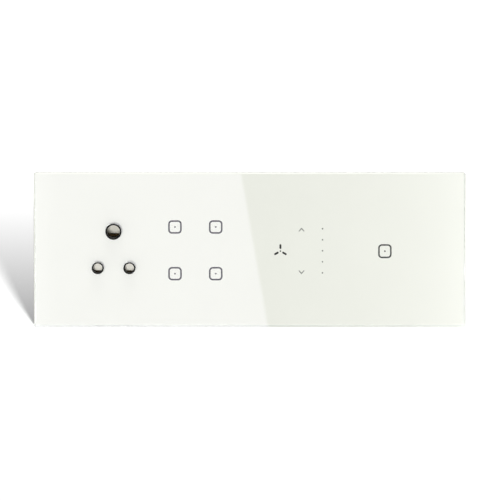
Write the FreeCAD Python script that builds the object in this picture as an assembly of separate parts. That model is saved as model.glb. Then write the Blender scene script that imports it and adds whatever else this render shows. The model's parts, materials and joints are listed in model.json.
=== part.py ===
"""Glass touch-switch and socket plate for an eight-module flush wall box.

Row frame: X to the right, Y into the wall, Z up, millimetres. The wall plane is y = 0 and the
glass faces -Y. The origin is the centre of the plate on the wall plane.
"""
import FreeCAD
import Part
import math
import os

Vector = FreeCAD.Vector

# Glass front plate
plate_width = 260.0
plate_height = 94.0
plate_corner = 1.5
glass_thickness = 4.0
glass_arris = 0.8
print_thickness = 0.15
print_margin = 0.35
print_hole_gap = 0.2
print_hole_sides = 24
tape_thickness = 0.5
tape_margin = 2.0
tape_window_margin = 3.0

# Stack of the grid and the modules, from the wall plane forwards
grid_thickness = 3.0
flange_thickness = 1.4
board_thickness = 1.2
cover_wall = 1.2
cover_gap = 0.2
wall_clearance = 0.5

# Row of modules: two groups of two double modules, and the plate that is left beside them
module_end_room = 23.3
module_gap = 0.6
group_gap = 14.6

# Module bodies
body_height = 60.0
body_wall = 1.6
body_depth = 28.0
body_bevel = 1.2
body_chamfer = 0.8
flange_lip_x = 1.5
flange_lip_z = 2.5
flange_bevel = 1.0
window_clearance = 0.3
cover_setback_x = 1.0
cover_setback_z = 2.0
cover_skirt = 1.2
cover_bevel = 1.6

# Latches that hold a module in the grid
latch_width = 8.0
latch_spacing = 26.0
latch_height = 1.2
latch_lip = 1.6
latch_gap = 0.15
latch_flat = 0.3

# Legs that snap a touch module's cover into its box and hold the power board down
leg_width = 7.0
leg_thickness = 1.2
leg_gap = 0.2
leg_hook = 1.0
leg_hook_front = 5.0
leg_hook_length = 2.2

# Mounting grid
grid_play = 2.7
grid_bevel = 2.0
screw_inset = 13.0
screw_slot_width = 4.2
screw_slot_length = 8.0
screw_land = 5.5
core_depth = 1.4
core_rib = 1.6
core_pockets = 2

# Carrier that the glass is taped to
carrier_inset = 0.5
carrier_bevel = 1.0
carrier_wall = 1.8
carrier_face = 1.5
carrier_window_gap = 1.0
carrier_rib = 1.2
carrier_rib_inset = 17.7
carrier_ribs_per_side = 6
carrier_ribs_per_end = 3
rib_gap = 0.3
seat_gap = 0.1
pry_notch_width = 14.0
pry_notch_depth = 1.6

# Retaining springs between the grid's edge and the carrier's wall
spring_inset = 25.0
spring_strip_width = 8.0
spring_strip = 0.4
spring_bump = 0.3
spring_groove_depth = 0.6
spring_groove_width = 2.0
spring_pocket_gap = 0.3
spring_root_inset = 3.5
spring_root_depth = 1.8
spring_fold = 1.0

# Round-pin outlet, 6 A pattern
line_pin_spacing = 19.05
earth_pin_rise = 22.22
line_hole_radius = 2.85
earth_hole_radius = 3.9
line_bush_wall = 0.7
earth_bush_wall = 0.9
bush_glass_gap = 0.15
bush_recess = 0.25
bush_lead_in = 0.4

# Shutter behind the outlet's cover
shutter_thickness = 1.4
running_gap = 0.15
shutter_travel = 6.4
shutter_line_cover = 2.0
shutter_earth_cover = 2.5
shutter_half_width = 13.4
shutter_bar_height = 6.6
shutter_stem_half_width = 7.4
shutter_window_half_width = 4.3
shutter_window_drop = 10.7
ramp_depth = 4.5
ramp_half_width = 5.6
ramp_rise = 6.7
shutter_peg_radius = 1.2
shutter_peg_height = 2.4
shutter_peg_gap = 0.89
guide_rib = 1.2
return_spring_radius = 1.95
return_spring_wire = 0.5
return_spring_turns = 3.5
return_spring_steps = 9

# Outlet body
outlet_depth = 24.0
outlet_floor = 1.6
outlet_inner_wall = 1.2
outlet_roof = 2.0
line_sleeve_radius = 2.55
earth_sleeve_radius = 3.55
sleeve_wall = 0.8
sleeve_slit = 0.8
sleeve_ring = 2.0
sleeve_sides = 20
line_sleeve_length = 11.4
earth_sleeve_length = 9.6
sleeve_well_gap = 0.35
sleeve_front_gap = 0.5
strap_thickness = 1.2
strap_width = 7.0
terminal_size = 8.0
terminal_height = 8.5
terminal_inset = 7.89
terminal_edge = 0.6
wire_hole_radius = 1.9
wire_notch_width = 5.0
bay_gap = 0.6
bay_edge_wall = 2.8
clamp_screw_radius = 1.25
clamp_head_radius = 2.4
clamp_head_height = 1.8
clamp_head_lift = 0.6
thread_play = 0.05
screw_sides = 12
screw_slot = 0.7
screw_slot_depth = 0.9

# Rear cover and the screws that hold the outlet together
rear_cover_thickness = 1.6
access_hole_radius = 3.1
case_screw_inset = 4.6
case_screw_radius = 1.3
case_screw_clearance = 0.3
case_screw_head_radius = 2.7
case_screw_head_height = 1.6
case_boss_radius = 2.6
case_boss_depth = 8.0
case_boss_gap = 0.2
case_boss_floor = 1.0

# Touch marks on the glass, from the middle of their module. They place the pads and lamps behind it
light_mark_offsets = (-13.0, 11.5)
light_mark_z = (14.3, -14.3)
fan_mark_offset = -13.5
speed_mark_offset = -0.8
speed_mark_z = 13.0
level_offset = 11.8
level_pitch = 6.7
level_count = 5
heavy_mark_offset = -0.6
pad_size = 9.0
small_pad_size = 6.0
pad_window = 3.2
pad_hole_gap = 0.4
pad_gap = 0.05
lamp_size = 1.6
lamp_height = 0.6
level_slot_width = 2.4

# Boards
board_gap = 0.3
power_board_thickness = 1.6
board_notch_gap = 0.1
post_size = 3.0
chip_size = 7.0
chip_height = 0.9
header_pins = 4
header_pitch = 2.54
header_pin = 0.64
header_body = 2.5
header_wall_gap = 4.1
header_z = -6.0

# Vents in the rear of a touch module
vent_count = 4
vent_width = 1.4
vent_length = 14.0
vent_pitch = 4.0
vent_rise = 12.0

# Parts on the power boards: width, height off the board, length, and the room left round them
relays_in_row = 4
relay_height = 10.6
relay_length = 20.5
relay_gap = 0.3
relay_wall_gap = 1.15
relay_top_gap = 2.15
power_relay_size = (16.0, 11.5, 24.0)
power_relay_wall_gap = 5.6
power_relay_top_gap = 2.4
film_capacitor_width = 9.0
film_capacitor_length = 24.0
film_capacitor_chip_gap = 2.5
film_capacitor_gap = 1.5
film_capacitor_wall_gap = 2.85
film_capacitor_relay_gap = 2.75
transformer_size = (15.0, 12.0, 11.0)
transformer_core = 5.0
coil_inset = 1.5
light_transformer_gap = 1.6
light_transformer_relay_gap = 5.75
heavy_transformer_gap = 3.1
heavy_transformer_relay_gap = 4.5
light_capacitor_offset = 3.5
light_capacitor_relay_gap = 4.75
heavy_capacitor_relay_gap = 4.0
heavy_capacitor_drop = 2.0
capacitor_radius = 4.0
capacitor_height = 11.0
capacitor_sides = 16

# Screw terminal blocks in the lower rear notch of a touch module
small_terminal_pitch = 5.08
large_terminal_pitch = 7.62
terminal_block_depth = 12.4
terminal_block_height = 11.7
terminal_end_wall = 0.6
terminal_fit = 0.3
terminal_chamfer = 3.0
clamp_screw_rise = 5.0
clamp_screw_front = 5.0
clamp_well_radius = 1.8
wire_entry = 3.4
wire_entry_depth = 7.0
block_screw_radius = 1.6
block_screw_recess = 1.0
cage_wall = 0.5
cage_play = 0.1
cage_inset = 1.5
block_screw_sides = 8
solder_pin = 0.9
solder_slot = 2.4

# Levels along Y that follow from the stack
grid_front = -grid_thickness
flange_front = grid_front - flange_thickness
cover_inner = flange_front - board_thickness
cover_front = cover_inner - cover_wall
print_back = cover_front - cover_gap
glass_back = print_back - print_thickness
glass_front = glass_back - glass_thickness
carrier_front = print_back + tape_thickness
carrier_back = -wall_clearance
carrier_face_back = carrier_front + carrier_face
bush_front = glass_front + bush_recess
shutter_front = cover_inner + running_gap
shutter_back = shutter_front + shutter_thickness
chamber_floor = shutter_back + running_gap
ramp_back = shutter_back + ramp_depth
ramp_floor = ramp_back + 2 * running_gap
line_sleeve_front = chamber_floor + sleeve_front_gap
earth_sleeve_front = ramp_floor + sleeve_front_gap
notch_front = body_depth - terminal_block_depth - terminal_fit
power_board_y = notch_front - body_wall - board_notch_gap - power_board_thickness
block_front = notch_front + terminal_fit / 2
block_back = block_front + terminal_block_depth
leg_end = power_board_y - seat_gap

# Widths and heights that follow from the plate and the row of modules
flange_width = (plate_width - 2 * module_end_room - 2 * module_gap - group_gap) / 4
flange_height = body_height + 2 * flange_lip_z
module_pitch = flange_width + module_gap
group_offset = (group_gap + flange_width + module_pitch) / 2
body_width = flange_width - 2 * flange_lip_x
cover_width = flange_width - 2 * cover_setback_x
cover_height = flange_height - 2 * cover_setback_z
carrier_width = plate_width - 2 * carrier_inset
carrier_height = plate_height - 2 * carrier_inset
carrier_inner_x = carrier_width / 2 - carrier_wall
carrier_inner_z = carrier_height / 2 - carrier_wall
carrier_rib_pitch = 2 * (carrier_inner_x - carrier_rib_inset) / (carrier_ribs_per_side - 1)
grid_width = 2 * (carrier_inner_x - grid_play)
grid_height = 2 * (carrier_inner_z - grid_play)
screw_spacing = grid_width - 2 * screw_inset
spring_reach = grid_width / 2 - spring_inset
spring_x = (-spring_reach, 0.0, spring_reach)
tape_width = (carrier_height - cover_height) / 2 - carrier_window_gap - tape_margin - tape_window_margin
inner_x = body_width / 2 - body_wall
inner_z = body_height / 2 - body_wall

# Places across the plate that follow from the row
outlet_x = -group_offset - module_pitch / 2
light_x = -group_offset + module_pitch / 2
fan_x = group_offset - module_pitch / 2
heavy_x = group_offset + module_pitch / 2
module_xs = (outlet_x, light_x, fan_x, heavy_x)
live_x = outlet_x + line_pin_spacing / 2
neutral_x = outlet_x - line_pin_spacing / 2
earth_z = earth_pin_rise / 2
line_z = -earth_pin_rise / 2
light_mark_x = [light_x + offset for offset in light_mark_offsets]
fan_mark_x = fan_x + fan_mark_offset
speed_mark_x = fan_x + speed_mark_offset
level_x = fan_x + level_offset
heavy_mark_x = heavy_x + heavy_mark_offset
ramp_low = earth_z - shutter_earth_cover
return_spring_top = body_height / 2 - outlet_roof
return_spring_y = (shutter_front + ramp_back) / 2
shutter_top = return_spring_top - shutter_peg_gap - shutter_peg_height - shutter_travel
window_width = body_width + 2 * window_clearance
window_height = body_height + 2 * window_clearance
spring_bump_y = (grid_front + carrier_back) / 2
terminal_drop = body_height / 2 - terminal_inset - earth_z
case_screw_offset = inner_x - case_screw_inset
header_x = inner_x - header_wall_gap
relay_width = (2 * (inner_x - relay_wall_gap) - (relays_in_row - 1) * relay_gap) / relays_in_row
relay_size = (relay_width, relay_height, relay_length)
relay_z = inner_z - relay_top_gap - relay_length / 2
relays_low = relay_z - relay_length / 2
film_capacitor_height = power_board_y - flange_front - chip_height - film_capacitor_chip_gap
film_capacitor_size = (film_capacitor_width, film_capacitor_height, film_capacitor_length)
block_low = -body_height / 2 + terminal_fit
clamp_z = block_low + clamp_screw_rise
clamp_y = block_front + clamp_screw_front


# Shapes that the pieces are made of

def box(x, y, z):
    """A block between the two values given for each axis, in either order."""
    low = Vector(min(x), min(y), min(z))
    return Part.makeBox(max(x) - low.x, max(y) - low.y, max(z) - low.z, low)


def rounded(x, z, width, height, radius, y_front, y_back):
    """A plate parallel to the wall, centred on x, z, with round corners."""
    edges = []
    inset = radius * (1 - math.sqrt(0.5))
    corners = []
    for sx, sz in ((-1, -1), (1, -1), (1, 1), (-1, 1)):
        tip = Vector(x + sx * width / 2, y_front, z + sz * height / 2)
        on_side = tip - Vector(0, 0, sz * radius)
        on_end = tip - Vector(sx * radius, 0, 0)
        middle = tip - Vector(sx * inset, 0, sz * inset)
        corners.append((on_side, middle, on_end) if sx == sz else (on_end, middle, on_side))
    for index, (start, middle, end) in enumerate(corners):
        before = corners[index - 1][2]
        if (start - before).Length > 1e-6:
            edges.append(Part.LineSegment(before, start).toShape())
        edges.append(Part.Arc(start, middle, end).toShape())
    return Part.Face(Part.Wire(edges)).extrude(Vector(0, y_back - y_front, 0))


def slab(x, z, width, height, y_front, y_back, bevel=0.0):
    """A plate parallel to the wall, centred on x, z, with its corners cut off if asked."""
    points = []
    for sx, sz in ((-1, -1), (1, -1), (1, 1), (-1, 1)):
        tip = Vector(x + sx * width / 2, y_front, z + sz * height / 2)
        on_side = tip - Vector(0, 0, sz * bevel)
        on_end = tip - Vector(sx * bevel, 0, 0)
        points += [on_side, on_end] if sx == sz else [on_end, on_side]
    if not bevel:
        points = points[::2]
    return Part.Face(Part.makePolygon(points + points[:1])).extrude(Vector(0, y_back - y_front, 0))


def rod_y(x, z, radius, y_front, y_back):
    """A round bar square to the wall."""
    return Part.makeCylinder(radius, y_back - y_front, Vector(x, y_front, z), Vector(0, 1, 0))


def polygon_y(x, z, radius, y_front, y_back, sides):
    """A bar square to the wall, flat-sided, for small round things that repeat."""
    turns = [2 * math.pi * (k + 0.5) / sides for k in range(sides)]
    points = [Vector(x + radius * math.cos(a), y_front, z + radius * math.sin(a)) for a in turns]
    return Part.Face(Part.makePolygon(points + points[:1])).extrude(Vector(0, y_back - y_front, 0))


def rod_z(x, y, radius, z_low, z_high):
    """An upright round bar."""
    return Part.makeCylinder(radius, z_high - z_low, Vector(x, y, z_low))


def prism_x(points, x_low, x_high):
    """A prism along X over a closed outline of (y, z) points."""
    closed = [Vector(x_low, y, z) for y, z in points + points[:1]]
    return Part.Face(Part.makePolygon(closed)).extrude(Vector(x_high - x_low, 0, 0))


def edges_at(shape, y):
    """The edges of a shape that lie in the plane of that y."""
    return [e for e in shape.Edges if max(abs(e.BoundBox.YMin - y), abs(e.BoundBox.YMax - y)) < 1e-6]


def evenly(count, pitch, centre=0.0):
    """Places of a row of things, centred."""
    return [centre + (k - (count - 1) / 2) * pitch for k in range(count)]


def pin_places():
    """Centre, hole radius and bush wall of the three pins: live, neutral, earth."""
    return [(live_x, line_z, line_hole_radius, line_bush_wall),
            (neutral_x, line_z, line_hole_radius, line_bush_wall),
            (outlet_x, earth_z, earth_hole_radius, earth_bush_wall)]


def pin_holes(gap, y_front, y_back):
    """Three rods to cut room for the bushes, wider than them by the gap."""
    return [rod_y(x, z, radius + wall + gap, y_front, y_back) for x, z, radius, wall in pin_places()]


# Front plate

def glass_panel():
    """Toughened glass with a polished arris all round and three drilled holes."""
    glass = rounded(0, 0, plate_width, plate_height, plate_corner, glass_front, glass_back)
    glass = glass.makeChamfer(glass_arris, edges_at(glass, glass_front) + edges_at(glass, glass_back))
    return glass.cut(pin_holes(bush_glass_gap, glass_front - 1, glass_back + 1))


def back_print():
    """The white enamel behind the glass, held back from the edge."""
    inset = 2 * (glass_arris + print_margin)
    layer = slab(0, 0, plate_width - inset, plate_height - inset, glass_back, print_back)
    gap = bush_glass_gap + print_hole_gap
    return layer.cut([polygon_y(x, z, radius + wall + gap, glass_back - 1, print_back + 1, print_hole_sides)
                      for x, z, radius, wall in pin_places()])


def bonding_tape():
    """Foam tape on the carrier's face: two long strips and three short ones between them."""
    long_z = carrier_height / 2 - tape_margin - tape_width / 2
    length = carrier_width - 2 * tape_margin
    strips = [slab(0, z, length, tape_width, print_back, carrier_front) for z in (long_z, -long_z)]
    short = 2 * (long_z - tape_width / 2 - tape_margin)
    end_x = (length - tape_width) / 2
    return strips + [slab(x, 0, tape_width, short, print_back, carrier_front) for x in (-end_x, 0, end_x)]


def carrier_ribs():
    """Ribs from the carrier's face to the grid, which hold the glass level with the bushes."""
    back = grid_front - seat_gap
    low = flange_height / 2 + rib_gap
    ends = module_xs[-1] + flange_width / 2 + rib_gap
    half = carrier_rib / 2
    ribs = []
    for side in (1, -1):
        for x in evenly(carrier_ribs_per_side, carrier_rib_pitch):
            ribs.append(box((x - half, x + half), (carrier_face_back, back),
                            (side * low, side * carrier_inner_z)))
        for z in evenly(carrier_ribs_per_end, 2 * low / carrier_ribs_per_end):
            ribs.append(box((side * ends, side * carrier_inner_x), (carrier_face_back, back),
                            (z - half, z + half)))
    return ribs


def carrier_frame():
    """Moulded frame behind the glass: a face with two windows, a skirt and stiffening ribs."""
    frame = slab(0, 0, carrier_width, carrier_height, carrier_front, carrier_back, carrier_bevel)
    inner = slab(0, 0, 2 * carrier_inner_x, 2 * carrier_inner_z, carrier_face_back, carrier_back + 1)
    frame = frame.cut(inner)
    cuts = []
    width = module_pitch + cover_width + 2 * carrier_window_gap
    height = cover_height + 2 * carrier_window_gap
    half = spring_strip_width / 2 + spring_pocket_gap
    groove = spring_groove_width / 2
    pry = pry_notch_width / 2
    for side in (1, -1):
        cuts.append(slab(side * group_offset, 0, width, height, carrier_front - 1, carrier_face_back + 1,
                         cover_bevel))
        for x in spring_x:
            cuts.append(box((x - half, x + half), (spring_bump_y - groove, spring_bump_y + groove),
                            (side * carrier_inner_z, side * (carrier_inner_z + spring_groove_depth))))
    cuts.append(box((-pry, pry), (carrier_back - pry_notch_depth, carrier_back + 1),
                    (-carrier_height, -carrier_inner_z + 1)))
    return frame.fuse(carrier_ribs()).cut(cuts).removeSplitter()


# Mounting grid

def spring_pockets(x, side):
    """The notch in the grid's edge and the slot that a retaining spring's root is pushed into."""
    half = spring_strip_width / 2 + spring_pocket_gap
    edge = grid_height / 2
    root = edge - spring_root_inset
    notch = box((x - half, x + half), (grid_front - 1, 1),
                (side * (edge - spring_strip - spring_pocket_gap), side * (edge + 1)))
    slot = box((x - half, x + half), (grid_front - 1, grid_front + spring_root_depth + spring_pocket_gap),
               (side * (root - spring_strip), side * (root + spring_strip)))
    return [notch, slot]


def module_window(x):
    """The window for one double module and the recesses that its latches hook behind."""
    cuts = [slab(x, 0, window_width, window_height, grid_front - 1, 1, body_bevel)]
    half = latch_width / 2 + window_clearance
    for latch_x in evenly(2, latch_spacing, x):
        for side in (1, -1):
            cuts.append(box((latch_x - half, latch_x + half), (grid_front + latch_lip, 1),
                            (side * (window_height / 2 - 1), side * (window_height / 2 + latch_height))))
    return cuts


def core_outs():
    """Shallow pockets in the grid's front that keep its walls even."""
    cuts = []
    low = module_xs[-1] + flange_width / 2 + core_rib
    high = grid_width / 2 - core_rib
    top = grid_height / 2 - spring_root_inset - core_rib
    for side in (1, -1):
        for up in (1, -1):
            cuts.append(box((side * low, side * high), (grid_front - 1, grid_front + core_depth),
                            (up * screw_land, up * top)))
    bar = group_offset - module_pitch / 2 - flange_width / 2 - core_rib
    pitch = (flange_height - core_rib) / core_pockets
    for z in evenly(core_pockets, pitch):
        cuts.append(slab(0, z, 2 * bar, pitch - core_rib, grid_front - 1, grid_front + core_depth))
    return cuts


def mounting_grid():
    """Moulded grid that screws to the wall box, with four module windows and two levelling slots."""
    grid = slab(0, 0, grid_width, grid_height, grid_front, 0, grid_bevel)
    cuts = core_outs()
    for x in module_xs:
        cuts += module_window(x)
    for x in evenly(2, screw_spacing):
        cuts.append(rounded(x, 0, screw_slot_length, screw_slot_width, screw_slot_width / 2,
                            grid_front - 1, 1))
    for x in spring_x:
        for side in (1, -1):
            cuts += spring_pockets(x, side)
    return grid.cut(cuts).removeSplitter()


def thick_line(path, thickness):
    """The outline of a bent strip: a line of (y, z) points and the same line moved to one side."""
    moved = []
    for before, here, after in zip(path[:1] + path, path, path[1:] + path[-1:]):
        ways = [Vector(b[0] - a[0], b[1] - a[1]) for a, b in ((before, here), (here, after)) if a != b]
        sides = [Vector(-w.y, w.x).normalize() for w in ways]
        mitre = sum(sides, Vector()).normalize()
        shift = mitre * (thickness / mitre.dot(sides[0]))
        moved.append((here[0] + shift.x, here[1] + shift.y))
    return path + moved[::-1]


def retaining_springs():
    """Six bent strips, each rooted in the grid, folded over its edge and clicked into the carrier."""
    edge = grid_height / 2
    root = edge - spring_root_inset - spring_strip / 2
    leg = edge + spring_pocket_gap
    over = grid_front - spring_strip
    tip = carrier_inner_z + spring_bump
    half = spring_groove_width / 2
    path = [(grid_front + spring_root_depth, root), (over, root), (over, leg + spring_fold),
            (spring_bump_y - half, leg + spring_fold), (spring_bump_y, tip), (spring_bump_y + half, leg)]
    springs = []
    for x in spring_x:
        for side in (1, -1):
            profile = [(y, side * z) for y, z in thick_line(path, -spring_strip)]
            springs.append(prism_x(profile, x - spring_strip_width / 2, x + spring_strip_width / 2))
    return springs


# Parts that every module has

def cap(x):
    """A module's front cover before its holes: a shallow cap that sits on the body's flange."""
    shell = slab(x, 0, cover_width, cover_height, cover_front, flange_front, cover_bevel)
    inner_width, inner_height = cover_width - 2 * cover_skirt, cover_height - 2 * cover_skirt
    return shell.cut(slab(x, 0, inner_width, inner_height, cover_inner, flange_front + 1))


def latches(x):
    """Two wedges above and two below, which spring out behind the grid's lip."""
    front = grid_front + latch_lip + latch_gap
    made = []
    for latch_x in evenly(2, latch_spacing, x):
        for side in (1, -1):
            z = side * body_height / 2
            tip = z + side * (latch_height - latch_gap)
            root = z - side * body_wall / 2
            wedge = [(front, root), (front, tip), (front + latch_flat, tip),
                     (-latch_gap, z + side * latch_gap), (-latch_gap, root)]
            made.append(prism_x(wedge, latch_x - latch_width / 2, latch_x + latch_width / 2))
    return made


def flanged_body(x, depth, chamfer):
    """A module's body before it is hollowed: flange, block with chamfered rear edges and latches."""
    body = slab(x, 0, body_width, body_height, flange_front, depth, body_bevel)
    if chamfer:
        body = body.makeChamfer(chamfer, edges_at(body, depth))
    flange = slab(x, 0, flange_width, flange_height, flange_front, grid_front, flange_bevel)
    return body.fuse([flange] + latches(x))


def screw_slot_cut(x, z, radius, head_back):
    """The slot across a screw's head."""
    return box((x - radius, x + radius), (head_back - screw_slot_depth, head_back + 1),
               (z - screw_slot / 2, z + screw_slot / 2))


def slotted_screw(x, z, shank_radius, tip, head_radius, head_front, head_back, sides):
    """A cheese-head screw along Y, its slot to the rear."""
    screw = polygon_y(x, z, shank_radius, tip, head_front, sides)
    screw = screw.fuse(polygon_y(x, z, head_radius, head_front, head_back, sides))
    return screw.cut(screw_slot_cut(x, z, head_radius, head_back))


# Round-pin outlet

def shutter_guides():
    """Ribs inside the outlet's cover that the shutter slides between, and the stop below it."""
    ribs = []
    bar_low = line_z - shutter_line_cover
    for side in (1, -1):
        stem = outlet_x + side * (shutter_stem_half_width + running_gap)
        bar = outlet_x + side * (shutter_half_width + running_gap)
        ribs.append(box((stem, stem + side * guide_rib), (cover_inner, shutter_back),
                        (bar_low + shutter_bar_height + shutter_travel + running_gap, shutter_top)))
        ribs.append(box((bar, bar + side * guide_rib), (cover_inner, shutter_back),
                        (bar_low - guide_rib, bar_low + shutter_bar_height)))
    stop = bar_low - running_gap
    ribs.append(box((outlet_x - ramp_half_width, outlet_x + ramp_half_width), (cover_inner, shutter_back),
                    (stop - guide_rib, stop)))
    return ribs


def outlet_cover():
    """The outlet's cover: holes for the bushes, shutter guides and the bosses of the case screws."""
    cover = cap(outlet_x).fuse(shutter_guides())
    tip = chamber_floor + case_boss_depth
    xs = evenly(2, 2 * case_screw_offset, outlet_x)
    thread = cover_inner + cover_wall
    cover = cover.fuse([polygon_y(x, 0, case_boss_radius, cover_inner, tip, screw_sides) for x in xs])
    cuts = [polygon_y(x, 0, case_screw_radius, thread, tip + 1, screw_sides) for x in xs]
    return cover.cut(cuts + pin_holes(0, cover_front - 1, cover_inner)).removeSplitter()


def pin_bushes():
    """Dark liners pressed into the cover. They stand in the glass holes and lead the pins in."""
    bushes = []
    for x, z, radius, wall in pin_places():
        tube = rod_y(x, z, radius + wall, bush_front, cover_inner)
        lead = Part.makeCone(radius + bush_lead_in, radius, bush_lead_in, Vector(x, bush_front, z),
                             Vector(0, 1, 0))
        bushes.append(tube.cut([rod_y(x, z, radius, bush_front - 1, cover_inner + 1), lead]))
    return bushes


def outlet_shutter():
    """The sliding shutter: a bar over the line and neutral holes and a ramp in the earth hole."""
    bar_low = line_z - shutter_line_cover
    bar = slab(outlet_x, bar_low + shutter_bar_height / 2, 2 * shutter_half_width, shutter_bar_height,
               shutter_front, shutter_back)
    stem = box((outlet_x - shutter_stem_half_width, outlet_x + shutter_stem_half_width),
               (shutter_front, shutter_back), (bar_low, shutter_top))
    block = box((outlet_x - ramp_half_width, outlet_x + ramp_half_width),
                (shutter_front, ramp_back), (ramp_low, shutter_top))
    window_x = (outlet_x - shutter_window_half_width, outlet_x + shutter_window_half_width)
    opening = box(window_x, (shutter_front - 1, shutter_back), (earth_z - shutter_window_drop, ramp_low))
    slope = prism_x([(shutter_front - 1, ramp_low), (shutter_front - 1, ramp_low + ramp_rise),
                     (shutter_front, ramp_low + ramp_rise), (ramp_back, ramp_low)], *window_x)
    peg = rod_z(outlet_x, return_spring_y, shutter_peg_radius, ramp_low + ramp_rise + 1,
                shutter_top + shutter_peg_height)
    return bar.fuse([stem, block]).cut([opening, slope]).fuse(peg).removeSplitter()


def shutter_spring():
    """The coil that pushes the shutter down, from the shutter's top to the roof of its pocket."""
    wire = return_spring_wire / 2
    low = shutter_top + wire + running_gap
    rise = return_spring_top - wire - running_gap - low
    steps = round(return_spring_turns * return_spring_steps)
    sections = []
    for step in range(steps + 1):
        turn = 2 * math.pi * return_spring_turns * step / steps
        out = Vector(math.cos(turn), math.sin(turn), 0)
        centre = Vector(outlet_x, return_spring_y, low + rise * step / steps) + out * return_spring_radius
        up = Vector(0, 0, wire)
        points = [centre + out * wire, centre + up, centre - out * wire, centre - up]
        sections.append(Part.makePolygon(points + points[:1]))
    return Part.makeLoft(sections, True, True)


def contact_places():
    """For each contact: name, pin centre, way to its terminal, sleeve radius, front and length."""
    line = (line_sleeve_radius, line_sleeve_front, line_sleeve_length)
    earth = (earth_sleeve_radius, earth_sleeve_front, earth_sleeve_length)
    return [("live_contact", live_x, line_z, -1, *line),
            ("neutral_contact", neutral_x, line_z, -1, *line),
            ("earth_contact", outlet_x, earth_z, 1, *earth)]


def contact(x, z, out, radius, front, length):
    """A split sleeve, its strap and the brass terminal that takes the wire. out is up or down."""
    back = front + length
    block_start = back + strap_thickness
    block_end = block_start + terminal_height
    centre = z + out * terminal_drop
    half = terminal_size / 2
    wire_y = block_start + terminal_height / 2
    sleeve = polygon_y(x, z, radius + sleeve_wall, front, back, sleeve_sides)
    strap = box((x - strap_width / 2, x + strap_width / 2), (back, block_start),
                (z - out * strap_width / 2, centre + out * half))
    block = box((x - half, x + half), (block_start, block_end), (centre - half, centre + half))
    block = block.makeChamfer(terminal_edge, edges_at(block, block_end))
    reach = radius + 2 * sleeve_wall
    slit = sleeve_slit / 2
    cuts = [polygon_y(x, z, radius, front - 1, back, sleeve_sides),
            box((x - reach, x + reach), (front - 1, back - sleeve_ring), (z - slit, z + slit)),
            rod_z(x, wire_y, wire_hole_radius, centre - terminal_size, centre + terminal_size),
            polygon_y(x, centre, clamp_screw_radius, wire_y, block_end + 1, screw_sides)]
    return sleeve.fuse([strap, block]).cut(cuts).removeSplitter()


def terminal_screw_places():
    """Centre of each terminal screw and the rear of its brass block."""
    return [(x, z + out * terminal_drop, front + length + strap_thickness + terminal_height)
            for _, x, z, out, _, front, length in contact_places()]


def outlet_terminal_screws():
    """One clamping screw per brass terminal, its tip level with the wire hole."""
    screws = []
    for x, z, back in terminal_screw_places():
        tip = back - terminal_height / 2 + wire_hole_radius
        head = back + clamp_head_lift
        screws.append(slotted_screw(x, z, clamp_screw_radius - thread_play, tip, clamp_head_radius, head,
                                    head + clamp_head_height, screw_sides))
    return screws


def terminal_bay(x, z, out, front, wall):
    """The room behind a sleeve for its strap and terminal, or with a wall, the block round it."""
    half = terminal_size / 2 + bay_gap + wall
    near = z - out * (strap_width / 2 + bay_gap + wall)
    far = out * (body_height / 2 - bay_edge_wall + wall)
    back = outlet_depth if wall else outlet_depth + 1
    return box((x - half, x + half), (front - wall, back), (near, far))


def wire_notch(x, out, front):
    """The way for the wire from outside to the terminal, open to the rear for assembly."""
    wire_y = front + strap_thickness + terminal_height / 2
    return slab(x, out * body_height / 2, wire_notch_width, 2 * (bay_edge_wall + 1),
                wire_y - wire_notch_width / 2, outlet_depth + 1)


def ramp_pocket(wall):
    """The room that the shutter's ramp and its spring move in, or with a wall, the block round it."""
    half = ramp_half_width + 2 * running_gap + wall
    spring_half = return_spring_radius + return_spring_wire / 2 + 2 * running_gap + wall
    low = ramp_low - 2 * running_gap - wall
    back = ramp_floor + wall
    top = shutter_top + shutter_travel + 2 * running_gap
    main = box((outlet_x - half, outlet_x + half), (chamber_floor - 1, back), (low, top + wall))
    spring = box((outlet_x - spring_half, outlet_x + spring_half), (chamber_floor - 1, back),
                 (shutter_top - 1, return_spring_top))
    return [main, spring]


def outlet_base():
    """The outlet's body: a thin shell with wells for the sleeves, a ramp pocket, bays and bosses."""
    base = flanged_body(outlet_x, outlet_depth, 0)
    wall = outlet_inner_wall
    cavity = slab(outlet_x, 0, 2 * inner_x, 2 * inner_z, chamber_floor + outlet_floor, outlet_depth + 1)
    islands = ramp_pocket(wall)
    cuts = ramp_pocket(0)
    for _, x, z, out, radius, front, length in contact_places():
        well = radius + sleeve_wall + sleeve_well_gap
        islands.append(slab(x, z, 2 * (well + wall), 2 * (well + wall), chamber_floor, front + length))
        islands.append(terminal_bay(x, z, out, front + length, wall))
        cuts.append(polygon_y(x, z, well, chamber_floor - 1, front + length + 1, screw_sides))
        cuts.append(terminal_bay(x, z, out, front + length, 0))
        cuts.append(wire_notch(x, out, front + length))
    boss_well = case_boss_radius + case_boss_gap
    boss_end = chamber_floor + case_boss_depth + case_boss_gap
    for x in evenly(2, 2 * case_screw_offset, outlet_x):
        size = 2 * (boss_well + wall)
        islands.append(slab(x, 0, size, size, chamber_floor, outlet_depth))
        cuts.append(polygon_y(x, 0, boss_well, chamber_floor - 1, boss_end, screw_sides))
        cuts.append(polygon_y(x, 0, case_screw_radius + case_screw_clearance, boss_end - 1, outlet_depth + 1,
                              screw_sides))
    chamber_width = 2 * (case_screw_offset + boss_well)
    cuts.append(slab(outlet_x, 0, chamber_width, 2 * inner_z, flange_front - 1, chamber_floor))
    cavity = cavity.cut(islands)
    return base.cut([cavity] + cuts).removeSplitter()


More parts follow.
